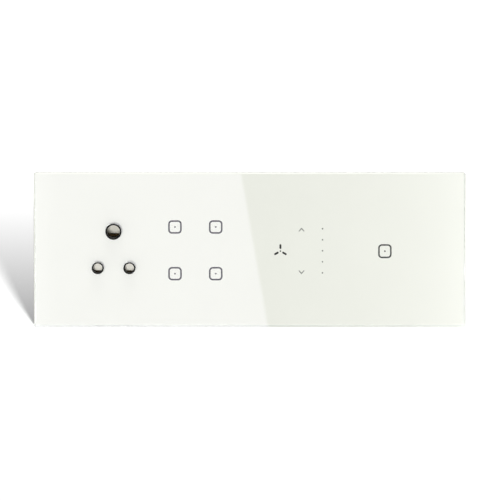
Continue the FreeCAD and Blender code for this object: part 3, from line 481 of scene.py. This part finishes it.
# %% [markdown]
# ## Flat shapes from operators
#
# The prints, the foam and the cages of the terminals are flat shapes with some thickness. Each starts as
# one upright face: a grid of a single square whose corners a vertex bevel rounds, or a circle. For a ring,
# the faces of two such shapes are deleted and the loops of edges that stay are bridged. The extrusion
# gives the thickness. A flat curve with a fill would do as well, but it leaves long thin triangles, and
# bridged quads can be bevelled afterwards.

# %% Plates and discs
quarter_turn = Matrix.Rotation(math.radians(90), 4, "X")


def upright(x, z, turn=0):
    """The matrix that stands a flat shape up at x, z, facing -Y, turned by that many degrees."""
    return Matrix.Translation((x, 0, z)) @ quarter_turn @ Matrix.Rotation(math.radians(turn), 4, "Z")


def round_plate(x, z, width, height, corner, steps, turn=0):
    """One face with round corners."""
    bm = bmesh.new()
    bmesh.ops.create_grid(bm, x_segments=1, y_segments=1, size=0.5,
                          matrix=upright(x, z, turn) @ Matrix.Diagonal((width, height, 1, 1)))
    bmesh.ops.bevel(bm, geom=bm.verts[:], offset=corner, segments=steps, profile=0.5,
                    affect="VERTICES", material=-1)
    return bm


def disc(x, z, radius, steps):
    """One round face."""
    bm = bmesh.new()
    bmesh.ops.create_circle(bm, cap_ends=True, segments=steps, radius=radius, matrix=upright(x, z))
    return bm


# %% Rings and thickness
def joined(parts):
    """One bmesh from several."""
    whole = bmesh.new()
    for part in parts:
        held = bpy.data.meshes.new("part")
        part.to_mesh(held)
        part.free()
        whole.from_mesh(held)
        bpy.data.meshes.remove(held)
    return whole


def outlines(shapes):
    """The edges of flat shapes, without their faces."""
    bm = joined(shapes)
    bmesh.ops.delete(bm, geom=bm.faces[:], context="FACES_ONLY")
    return bm


def ring(outer, inner):
    """The faces between two outlines of as many points."""
    bm = outlines([outer, inner])
    bmesh.ops.bridge_loops(bm, edges=bm.edges[:])
    return bm


def thick(bm, front, back):
    """A flat shape, moved to its front plane and extruded to its back plane."""
    bmesh.ops.translate(bm, vec=(0, front, 0), verts=bm.verts[:])
    raised = bmesh.ops.extrude_face_region(bm, geom=bm.faces[:])
    moved = [item for item in raised["geom"] if isinstance(item, bmesh.types.BMVert)]
    bmesh.ops.translate(bm, vec=(0, back - front, 0), verts=moved)
    return bm


# %% [markdown]
# ## The white print
#
# The print is one thin layer behind the glass, held back from the edge, with three round holes for the
# pin bushes. As a solid its face lies exactly on the glass's rear face, and two faces in one plane
# flicker. So it is remade a hair's breadth deeper into the glass. It has three holes, and a bridge joins
# only two loops, so its outlines are filled instead: the fill leaves out what lies in an inner outline.

# %% The print layer
bush_low, bush_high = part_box("pin_bushes")
print_low, print_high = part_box("back_print")
print_sink = 0.02 * mm
print_corner = 1.0 * mm
print_hole_gap = 0.35 * mm
line_bush = 3.55 * mm
earth_bush = 4.8 * mm
bush_places = [(bush_low.x + line_bush, bush_low.z + line_bush, line_bush),
               (bush_high.x - line_bush, bush_low.z + line_bush, line_bush),
               ((bush_low.x + bush_high.x) / 2, bush_high.z - earth_bush, earth_bush)]
print("bushes at", [(round(x, 5), round(z, 5), r) for x, z, r in bush_places])

print_front = print_low.y - print_sink
print_size = print_high - print_low
coat = outlines([round_plate(0, 0, print_size.x, print_size.z, print_corner, steps=8)]
                + [disc(x, z, radius + print_hole_gap, steps=72) for x, z, radius in bush_places])
bmesh.ops.triangle_fill(coat, use_beauty=True, use_dissolve=False, edges=coat.edges[:])
white_print = make_piece("white_print", thick(coat, print_front, print_high.y), "white_enamel",
                         front_plate)
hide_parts("back_print")

# %% [markdown]
# ## The touch signs
#
# Each switch is marked by a square with round corners and a dot in the middle, the fan by three short
# strokes round a dot, its speed by two chevrons and five dots. They are thin layers of ink, a few
# hundredths of a millimetre in front of the white, inside the glass. A stroke with round ends is a plate
# whose corners are rounded by half its width. They could be an image laid on the white, but an image
# blurs when the camera comes near, and these keep their edges.

# %% Sizes of the signs
ink_thickness = 0.02 * mm
ink_front = print_front - ink_thickness
ink_back = print_front + ink_thickness / 2
light_square = (8.15 * mm, 8.15 * mm)
heavy_square = (8.1 * mm, 8.5 * mm)
square_corner = 2.3 * mm
square_stroke = 0.95 * mm
square_dot = 0.5 * mm
blade_from, blade_to = 1.3 * mm, 4.25 * mm
blade_stroke = 1.2 * mm
fan_dot = 0.45 * mm
chevron_width, chevron_height = 3.7 * mm, 2.2 * mm
chevron_stroke = 0.47 * mm
level_step, level_middle = 6.72 * mm, -0.8 * mm
level_dot = 0.42 * mm
light_signs = [(-45.0 * mm, 13.68 * mm), (-20.45 * mm, 13.68 * mm),
               (-45.0 * mm, -14.74 * mm), (-20.45 * mm, -14.74 * mm)]
heavy_sign = (81.4 * mm, -1.05 * mm)
fan_sign = (18.5 * mm, -1.0 * mm)
speed_signs = [(31.2 * mm, 12.1 * mm, 1), (31.2 * mm, -13.9 * mm, -1)]
level_signs = [(43.85 * mm, k * level_step + level_middle) for k in (-2, -1, 0, 1, 2)]
print("signs", len(light_signs), "lights,", len(level_signs), "levels, the fan and the heavy load")


# %% Shapes of the signs
def square_sign(x, z, size):
    """A square ring with round corners."""
    inner = [side - 2 * square_stroke for side in size]
    return ring(round_plate(x, z, *size, square_corner, steps=8),
                round_plate(x, z, *inner, square_corner - square_stroke, steps=8))


def dots(places, radius):
    return [disc(x, z, radius, steps=24) for x, z in places]


def blade(x, z, turn):
    """A stroke with round ends that points away from x, z."""
    middle = upright(x, z, turn) @ Vector(((blade_from + blade_to) / 2, 0, 0))
    return round_plate(middle.x, middle.z, blade_to - blade_from, blade_stroke, blade_stroke / 2,
                       steps=4, turn=turn)


def chevron(x, z, up):
    """An arrow head that points up or down, as one bent stroke with six corners."""
    half, rise = chevron_width / 2, up * chevron_height / 2
    slope = math.hypot(half, chevron_height)
    drop = up * chevron_stroke * slope / half
    side = chevron_stroke * slope / chevron_height
    corners = [(x - half, z - rise), (x, z + rise), (x + half, z - rise), (x + half - side, z - rise),
               (x, z + rise - drop), (x - half + side, z - rise)]
    bm = bmesh.new()
    bm.faces.new([bm.verts.new((corner_x, 0, corner_z)) for corner_x, corner_z in corners])
    return bm


# %% Print the signs
def print_sign(name, shapes, ink):
    """Flat shapes as one layer of ink."""
    make_piece(name, thick(joined(shapes), ink_front, ink_back), ink, front_plate)


print_sign("light_signs", [square_sign(x, z, light_square) for x, z in light_signs], "dark_enamel")
print_sign("heavy_sign", [square_sign(*heavy_sign, heavy_square)], "dark_enamel")
print_sign("square_dots", dots(light_signs + [heavy_sign], square_dot), "dark_enamel")
print_sign("fan_sign", [blade(*fan_sign, turn) for turn in (90, 210, 330)] + dots([fan_sign], fan_dot),
           "dark_enamel")
print_sign("speed_signs", [chevron(*place) for place in speed_signs], "pale_enamel")
print_sign("level_dots", dots(level_signs, level_dot), "dark_enamel")

# %% [markdown]
# ## The shutter's spring
#
# A coil spring is a round wire wound on a cylinder. A small circle is spun round the spring's axis, and
# each step also moves it up, which is what the spin operator's dvec is for. A curve with a bevel would
# do as well, but the spin gives clean rings of vertices. As the shutter rises, the coil has to shorten
# against its upper end. Here the coil gets a mesh of its own and rides on the wall unit.

# %% The coil
wire_radius = 0.25 * mm
coil_turns = 3.5
steps_to_a_turn = 32
coil_steps = round(coil_turns * steps_to_a_turn)
spring_low, spring_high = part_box("shutter_spring")
coil_axis = Vector(((spring_low.x + spring_high.x) / 2, (spring_low.y + spring_high.y) / 2, 0))
coil_radius = (spring_high.x - spring_low.x) / 2 - wire_radius
coil_rise = spring_high.z - spring_low.z - 2 * wire_radius
wire_start = Matrix.Translation(coil_axis + Vector((coil_radius, 0, spring_low.z + wire_radius)))

wire = bmesh.new()
bmesh.ops.create_circle(wire, cap_ends=False, segments=12, radius=wire_radius,
                        matrix=wire_start @ quarter_turn)
first_end = wire.edges[:]
wound = bmesh.ops.spin(wire, geom=wire.verts[:] + wire.edges[:], cent=coil_axis, axis=(0, 0, 1),
                       dvec=(0, 0, coil_rise / coil_steps), angle=math.radians(360 * coil_turns),
                       steps=coil_steps, use_merge=False, use_normal_flip=False, use_duplicate=False)
last_end = [item for item in wound["geom_last"] if isinstance(item, bmesh.types.BMEdge)]
for end in (first_end, last_end):
    bmesh.ops.contextual_create(wire, geom=end)
return_coil = make_piece("return_coil", wire, "spring_steel", wall_unit, smooth_angle=50)
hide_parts("shutter_spring")
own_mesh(return_coil)

# %% [markdown]
# ## Places read from the solids
#
# The pieces that follow are small and come in rows. The mesh of a node falls into loose parts, one for
# each screw or pad, and the box of each part says where its new form goes. Typing the places would be
# quicker, but then they would have to be corrected whenever the solids change.

# %% Loose parts of a node
tolerance = 1e-6


def loose_boxes(node):
    """The boxes of a node's loose parts, from left to right and upwards."""
    bm = bmesh.new()
    bm.from_mesh(nodes[node].data)
    bmesh.ops.transform(bm, matrix=nodes[node].matrix_world, verts=bm.verts[:])
    bmesh.ops.remove_doubles(bm, verts=bm.verts[:], dist=tolerance)
    left = set(bm.verts)
    boxes = []
    while left:
        found = [left.pop()]
        for vert in found:
            near = {edge.other_vert(vert) for edge in vert.link_edges} & left
            left -= near
            found += near
        low, high = (Vector([pick(vert.co[k] for vert in found) for k in range(3)]) for pick in (min, max))
        boxes.append((low, high))
    bm.free()
    return sorted(boxes, key=lambda box: (round(box[0].x, 5), round(box[0].z, 5), box[0].y))


for node in ("bonding_tape", "light_touch_pads", "light_terminal_clamps"):
    print(node, "loose parts", len(loose_boxes(node)))

# %% [markdown]
# ## Turned bodies and round edges
#
# A screw is turned on a lathe, and the spin operator does what a lathe does: it carries a profile once
# round an axis. A stack of cylinders would do for a screw, but each step of it would hide faces inside.
# No edge on a real piece is quite sharp, and the light on a rounded edge is what shows its form, so the
# second helper bevels the edges where two faces meet steeply.

# %% Helpers for turned bodies and round edges
sharp_angle = math.radians(50)
smooth_foam, smooth_metal = 60, 35


def turned(x, z, profile, steps=32):
    """A bmesh of a body turned round a line along Y. The profile is a list of (radius, y)."""
    bm = bmesh.new()
    verts = [bm.verts.new((x + radius, y, z)) for radius, y in profile]
    edges = [bm.edges.new(pair) for pair in zip(verts, verts[1:])]
    bmesh.ops.spin(bm, geom=verts + edges, cent=(x, 0, z), axis=(0, 1, 0), dvec=(0, 0, 0),
                   angle=math.radians(360), steps=steps, use_merge=True, use_normal_flip=False,
                   use_duplicate=False)
    bmesh.ops.remove_doubles(bm, verts=bm.verts[:], dist=merge_distance)
    return bm


def soften(bm, amount, steps, back_only=None):
    """Rounds the steep edges, or only those that lie in the plane of that y."""
    bmesh.ops.recalc_face_normals(bm, faces=bm.faces[:])
    sharp = [edge for edge in bm.edges if edge.calc_face_angle(0) > sharp_angle]
    if back_only is not None:
        sharp = [edge for edge in sharp
                 if all(abs(vert.co.y - back_only) < tolerance for vert in edge.verts)]
    bmesh.ops.bevel(bm, geom=sharp, offset=amount, segments=steps, profile=0.5, affect="EDGES",
                    material=-1, clamp_overlap=True)
    return bm


# %% [markdown]
# ## Foam tape and foam pads
#
# Foam has no sharp edges: where it is cut and pressed, its sides swell a little. The strips of tape are
# plates with small round corners, extruded by the tape's thickness, and their long edges are bevelled
# until the sides are half round. The pads that lead the touch to the boards are frames round a window for
# the lamp, made in the same way and rounder still. A subdivision surface would round them as well, but
# the bevel keeps the flat faces that bear on the glass and the board.

# %% The foam pieces
tape_corner, tape_edge = 0.4 * mm, 0.2 * mm
tape = []
for low, high in loose_boxes("bonding_tape"):
    centre, size = (low + high) / 2, high - low
    strip = round_plate(centre.x, centre.z, size.x, size.z, tape_corner, steps=3)
    tape.append(soften(thick(strip, low.y, high.y), tape_edge, 3))
tape_strips = make_piece("tape_strips", joined(tape), "foam_tape", front_plate, smooth_foam)
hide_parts("bonding_tape")

pad_corner, pad_edge = 1.1 * mm, 0.38 * mm
window_side, window_corner = 3.2 * mm, 0.5 * mm
for name in ("light", "fan", "heavy"):
    pads = []
    for low, high in loose_boxes(name + "_touch_pads"):
        centre, size = (low + high) / 2, high - low
        pad = ring(round_plate(centre.x, centre.z, size.x, size.z, pad_corner, steps=5),
                   round_plate(centre.x, centre.z, window_side, window_side, window_corner, steps=5))
        pads.append(soften(thick(pad, low.y, high.y), pad_edge, 4))
    soft_pads = make_piece(name + "_soft_pads", joined(pads), "dark_foam", wall_unit,
                           smooth_foam)
    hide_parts(name + "_touch_pads")

# %% [markdown]
# ## Screws
#
# All the screws are cheese-head screws with a slot, and no two slots point the same way, because each was
# turned until it held. The shank and the lower part of the head are turned. The slot is left between two
# caps in the shape of a D, which stand on the head. The arc of a D is one point that is spun part of the
# way round, and the face closes it with a straight side. Cutting the slot with a boolean would do too, but
# caps give clean faces and an edge that can be rounded.

# %% The cap of a screw
def screw_cap(x, z, radius, start, end):
    """One face between an arc, from one angle to the other in degrees, and the line that closes it."""
    bm = bmesh.new()
    point = bm.verts.new(upright(x, z, start) @ Vector((radius, 0, 0)))
    bmesh.ops.spin(bm, geom=[point], cent=(x, 0, z), axis=(0, -1, 0), dvec=(0, 0, 0),
                   angle=math.radians(end - start), steps=18, use_merge=False, use_normal_flip=False,
                   use_duplicate=False)
    bmesh.ops.contextual_create(bm, geom=bm.edges[:])
    return bm


# %% A slotted screw
slot_width, slot_depth = 0.7 * mm, 0.9 * mm
cap_inset, cap_overlap = 0.02 * mm, 0.05 * mm
cap_rounding = 0.22
tip_taper = 0.75


def slotted_screw(box, shank_radius, head_height, turn):
    """A screw along Y that fills the box, its slot turned by that many degrees."""
    low, high = box
    x, z = (low.x + high.x) / 2, (low.z + high.z) / 2
    head_radius = (high.x - low.x) / 2
    under, slot_floor = high.y - head_height, high.y - slot_depth
    tip_radius = shank_radius * tip_taper
    profile = [(0, low.y), (tip_radius, low.y), (shank_radius, low.y + shank_radius - tip_radius),
               (shank_radius, under), (head_radius, under), (head_radius, slot_floor), (0, slot_floor)]
    parts = [turned(x, z, profile)]
    cap_radius = head_radius - cap_inset
    cut = math.degrees(math.asin(slot_width / 2 / cap_radius))
    for side in (turn, turn + 180):
        cap = screw_cap(x, z, cap_radius, side + cut, side + 180 - cut)
        cap = thick(cap, slot_floor - cap_overlap, high.y)
        parts.append(soften(cap, cap_rounding * head_radius, 3, back_only=high.y))
    return parts


# %% The outlet's screws
def screw_set(name, replaced, shank_radius, head_height, turns):
    parts = []
    for box, turn in zip(loose_boxes(replaced), turns):
        parts += slotted_screw(box, shank_radius, head_height, turn)
    piece = make_piece(name, joined(parts), "zinc_steel", wall_unit, smooth_metal)
    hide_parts(replaced)


screw_set("outlet_case_screw_pair", "outlet_case_screws", 1.25 * mm, 1.6 * mm, (22, -48))
screw_set("outlet_clamping_screws", "outlet_terminal_screws", 1.2 * mm, 1.8 * mm, (12, -35, 64))

# %% [markdown]
# ## Terminal clamps
#
# In each pole of a terminal block a screw draws a small square cage up round the wire. The cage is a
# frame extruded along the wire's way, which is Z here: the frame is made lying along Y like the others
# and then turned. Its edges are rounded, because it is folded from strip.

# %% The clamps of the three blocks
cage_wall, cage_edge = 0.5 * mm, 0.08 * mm
cage_corner, hole_corner = 0.45 * mm, 0.2 * mm
clamp_head = 2.4 * mm
thread_depth = 0.25 * mm
slot_turns = (8, -30, 41, 75, -62, 19)
for name in ("light", "fan", "heavy"):
    parts = []
    screws = 0
    for low, high in loose_boxes(name + "_terminal_clamps"):
        size = high - low
        if size.y > size.z:
            parts += slotted_screw((low, high), size.x / 2 - thread_depth, clamp_head, slot_turns[screws])
            screws += 1
        else:
            x, y = (low.x + high.x) / 2, (low.y + high.y) / 2
            wide, deep = size.x - 2 * cage_wall, size.y - 2 * cage_wall
            cage = ring(round_plate(x, -y, size.x, size.y, cage_corner, steps=4),
                        round_plate(x, -y, wide, deep, hole_corner, steps=4))
            cage = soften(thick(cage, low.z, high.z), cage_edge, 2)
            bmesh.ops.transform(cage, matrix=quarter_turn, verts=cage.verts[:])
            parts.append(cage)
    clamps = make_piece(name + "_screw_clamps", joined(parts), "zinc_steel", wall_unit,
                        smooth_metal)
    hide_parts(name + "_terminal_clamps")

# %% [markdown]
# ## What the glass mirrors
#
# A photographer of glass puts reflectors where the glass mirrors them. Here a bright sheet lies in front
# of the plate to the left, and a glow to the right of it. The edge of the sheet is placed by the law of
# the mirror: the lens, reflected in the front of the glass, is a point behind it, and a line from that
# point through a place on the glass meets the floor where the camera sees it mirrored.
#
# The glow is a sum of two smooth curves, so it needs no list of levels: a straight rise with a steep one
# on top of it towards the right end of the glass, and a short one at the left end. Sheet and glow lie
# only on the strip of floor that the glass mirrors to a viewer straight ahead, and fade out at its
# borders, so that the glass isn't washed out when it is seen from a side. Cards that stand in the scene
# would do the same, but the other views would show them.

# %% Places on the floor
glass_low, glass_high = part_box("glass_panel")
floor_z = cad_box[0].z
lens_x = 0.18 * mm
camera_distance = 5.0
camera_elevation = math.radians(8.5)
camera_aim_z = -1.6 * mm
mirror_y = camera_distance * math.cos(camera_elevation) + 2 * glass_low.y
mirror_z = camera_distance * math.sin(camera_elevation) + camera_aim_z
sheet_edge_top = -5.2 * mm
sheet_edge_bottom = 11.0 * mm


def mirrored_on_floor(x, z):
    """The place on the floor that the camera sees in the glass at x, z."""
    reach = (mirror_z - floor_z) / (mirror_z - z)
    return lens_x + reach * (x - lens_x), mirror_y - reach * (mirror_y - glass_low.y)


near_x, near_y = mirrored_on_floor(sheet_edge_bottom, glass_low.z)
far_x, far_y = mirrored_on_floor(sheet_edge_top, glass_high.z)
sheet_slant = (near_x - far_x) / (near_y - far_y)
sheet_start = near_x - sheet_slant * near_y
print("sheet edge on the floor", round(sheet_start, 5), round(sheet_slant, 5))

# %% The light of the sheet and the glow
sheet_light = (2.15, 1.97, 2.6)
sheet_blur = 1.5 * mm
glow_start = 13.0 * mm
glow_slope, glow_peak, glow_power = 1.72, 1.8, 5.5
rim_start = -115.7 * mm
rim_peak, rim_power = 0.88, 1.3
side_fade = 25.0 * mm
far_fade = 3.0


def mirrored_light(tree, across, depth):
    """What polished surfaces see of the floor: plain white, with the sheet and the glow on their strip."""
    spread = calculate(tree, "DIVIDE", calculate(tree, "SUBTRACT", mirror_y, depth), mirror_y - glass_low.y)
    face_x = calculate(tree, "DIVIDE", across, spread)
    rise = map_range(tree, face_x, glow_start, glass_high.x)
    slow = calculate(tree, "MULTIPLY", rise, glow_slope)
    steep = calculate(tree, "POWER", rise, glow_power)
    glow = calculate(tree, "MULTIPLY_ADD", steep, glow_peak, slow)
    rim = calculate(tree, "POWER", map_range(tree, face_x, rim_start, glass_low.x), rim_power)
    glow = calculate(tree, "MULTIPLY_ADD", rim, rim_peak, glow)
    edge = calculate(tree, "MULTIPLY_ADD", depth, -sheet_slant, across)
    sheet = map_range(tree, edge, sheet_start - sheet_blur, sheet_start + sheet_blur, 1.0, 0.0, "SMOOTHSTEP")
    bright = calculate_vector(tree, "ADD", glow, times(tree, sheet_light, sheet))
    aside = calculate(tree, "ABSOLUTE", face_x)
    within = map_range(tree, aside, glass_high.x, glass_high.x + side_fade, 1.0, 0.0, "SMOOTHSTEP")
    near = map_range(tree, depth, far_y - far_fade, far_y, 0.0, 1.0, "SMOOTHSTEP")
    in_front = calculate(tree, "LESS_THAN", depth, 0.0)
    strip = calculate(tree, "MULTIPLY", calculate(tree, "MULTIPLY", within, near), in_front)
    return calculate_vector(tree, "ADD", times(tree, bright, strip), (1.0, 1.0, 1.0))


# %% [markdown]
# ## Floor
#
# The plate stands on a white floor that runs on into a white backdrop. What the camera sees of the floor
# is a dull white that keeps the plate's shadow, plus a glow that grows with the distance behind the
# plate, so that the far end of the shadow fades out. Rays that a dull surface sends out meet an even
# pale grey light, and polished surfaces see the mirrored light above. One floor that is lit by lamps
# alone would be simpler, but it would be either too grey for the camera or too bright for the object.

# %% The floor's material
floor_grey = (0.5, 0.5, 0.5, 1)
glow_near, glow_far, glow_depth = 0.28, 0.93, 0.5
even_level = 0.46


def floor_finish(name):
    tree, shader = start_finish(name)
    tree.nodes.remove(shader)
    axes = add_node(tree, "ShaderNodeSeparateXYZ", {0: object_place(tree)}).outputs
    across, depth = axes[0], axes[1]
    fade = map_range(tree, depth, 0.0, glow_depth, glow_near, glow_far)
    dull = add_node(tree, "ShaderNodeBsdfDiffuse", {"Color": floor_grey}).outputs[0]
    glow = add_node(tree, "ShaderNodeEmission", {"Strength": fade}).outputs[0]
    seen = add_node(tree, "ShaderNodeAddShader", {0: dull, 1: glow}).outputs[0]
    even = add_node(tree, "ShaderNodeEmission", {"Strength": even_level}).outputs[0]
    mirrored = add_node(tree, "ShaderNodeEmission", {"Color": mirrored_light(tree, across, depth),
                                                     "Strength": 1.0}).outputs[0]
    ray = add_node(tree, "ShaderNodeLightPath").outputs
    lit = mix_shaders(tree, ray["Is Glossy Ray"], even, mirrored)
    straight = calculate(tree, "MAXIMUM", ray["Is Camera Ray"], ray["Is Transmission Ray"])
    fill(tree, tree.nodes["Material Output"], {"Surface": mix_shaders(tree, straight, lit, seen)})


# %% The floor
floor_reach = 8.0
grid = bmesh.new()
bmesh.ops.create_grid(grid, x_segments=2, y_segments=2, size=floor_reach,
                      matrix=Matrix.Translation((0, 0, floor_z)))
floor_mesh = bpy.data.meshes.new("floor")
grid.to_mesh(floor_mesh)
grid.free()
floor_finish("studio_floor")
floor_mesh.materials.append(finishes["studio_floor"])
floor = into_scene("floor", floor_mesh)
floor.visible_shadow = False
print("floor at", round(floor_z, 5), "reaching", floor_reach)

# %% [markdown]
# ## World
#
# The world is an even white that the camera and polished surfaces see at full strength, and that dull
# surfaces get at about a fifth of it. A sky or a picture of a studio would do too, but it would put its
# own shapes into the glass.

# %% World
world_level = 0.22
world = bpy.data.worlds.new("studio")
bpy.context.scene.world = world
world.use_nodes = True
sky = world.node_tree
ray = add_node(sky, "ShaderNodeLightPath").outputs
seen = calculate(sky, "MAXIMUM", ray["Is Camera Ray"], ray["Is Glossy Ray"])
seen = calculate(sky, "MAXIMUM", seen, ray["Is Transmission Ray"])
fill(sky, sky.nodes["Background"], {"Color": white, "Strength": map_range(sky, seen, 0.0, 1.0, world_level)})
print("world at", world_level, "of its brightness for dull surfaces")

# %% [markdown]
# ## Lamps
#
# A wide, soft lamp in front, a little to the left and low, lights the face and shines into the pin holes.
# Weaker lamps above, behind and at the sides keep the other views from going dark. Polished surfaces see
# only the top lamp: the slanted upper edge of the glass mirrors it and shines, as in the photograph,
# while the others would leave spots in the glass and on the screws. A sun draws the shadow on the floor,
# and it lights nothing else: with light linking a lamp can be told which objects it lights, so everything
# else keeps its plain level.

# %% Lamps
def aim(holder, target):
    """Turns a lamp or a camera so that its -Z points at the target."""
    holder.rotation_euler = (target - holder.location).to_track_quat("-Z", "Y").to_euler()


def from_angles(azimuth, elevation, distance):
    """A place round the object. Azimuth 0 is in front, and it grows to the right."""
    a, e = math.radians(azimuth), math.radians(elevation)
    return Vector((math.sin(a) * math.cos(e), -math.cos(a) * math.cos(e), math.sin(e))) * distance


def lamp_at(name, data, azimuth, elevation, distance):
    """A lamp in the scene that shines on the object from those angles."""
    lamp = into_scene(name, data)
    lamp.location = from_angles(azimuth, elevation, distance)
    aim(lamp, Vector((0, 0, 0)))
    return lamp


def soft_lamp(name, azimuth, elevation, distance, size, level):
    """A round area lamp. Level is how bright it makes a white surface that faces it."""
    data = bpy.data.lights.new(name, "AREA")
    data.shape = "DISK"
    data.size = size
    data.energy = level * math.pi ** 2 * distance ** 2
    return lamp_at(name, data, azimuth, elevation, distance)


lamps = [soft_lamp("front_lamp", azimuth=-8.0, elevation=-6.0, distance=3.0, size=1.1, level=0.71),
         soft_lamp("top_lamp", azimuth=0.0, elevation=88.0, distance=2.5, size=2.0, level=0.56),
         soft_lamp("rear_lamp", azimuth=180.0, elevation=30.0, distance=2.5, size=0.9, level=0.34),
         soft_lamp("left_lamp", azimuth=-112.0, elevation=15.0, distance=2.5, size=0.9, level=0.45),
         soft_lamp("right_lamp", azimuth=112.0, elevation=15.0, distance=2.5, size=0.9, level=0.45)]
print("lamps", {lamp.name: round(lamp.data.energy, 1) for lamp in lamps})

# %% What each lamp lights
all_but_floor = bpy.data.collections.new("all_but_floor")
all_but_floor.objects.link(floor)
for lamp in lamps:
    lamp.light_linking.receiver_collection = all_but_floor
    lamp.visible_glossy = lamp.name == "top_lamp"
all_but_floor.collection_objects[0].light_linking.link_state = "EXCLUDE"

sun_data = bpy.data.lights.new("floor_sun", "SUN")
sun_data.energy = 26.5
sun_data.angle = math.radians(4.0)
floor_sun = lamp_at("floor_sun", sun_data, azimuth=7.7, elevation=9.0, distance=3.0)
floor_only = bpy.data.collections.new("floor_only")
floor_only.objects.link(floor)
floor_sun.light_linking.receiver_collection = floor_only
print("sun on the floor", sun_data.energy)

# %% [markdown]
# ## Camera
#
# The photograph looks at the plate from straight ahead and a little above, through a long lens: its sides
# don't converge, and a thin strip of the top edge shows. The frame is 301 mm wide at the glass. A camera
# without perspective would come close, but from 5 m a lens keeps the little of it that there is.

# %% The camera
frame_width = 300.95 * mm
sensor_width = 36.0
aim_point = Vector((lens_x, 0, camera_aim_z))
camera_data = bpy.data.cameras.new("camera")
camera_data.sensor_width = sensor_width
camera_data.lens = sensor_width * (camera_distance + glass_low.y) / frame_width
camera_data.clip_end = 100.0
camera = into_scene("camera", camera_data)
camera.location = aim_point + from_angles(0.0, math.degrees(camera_elevation), camera_distance)
aim(camera, aim_point)
bpy.context.scene.camera = camera
bpy.context.scene.view_settings.view_transform = "Standard"
print("lens", round(camera_data.lens, 1), "mm")
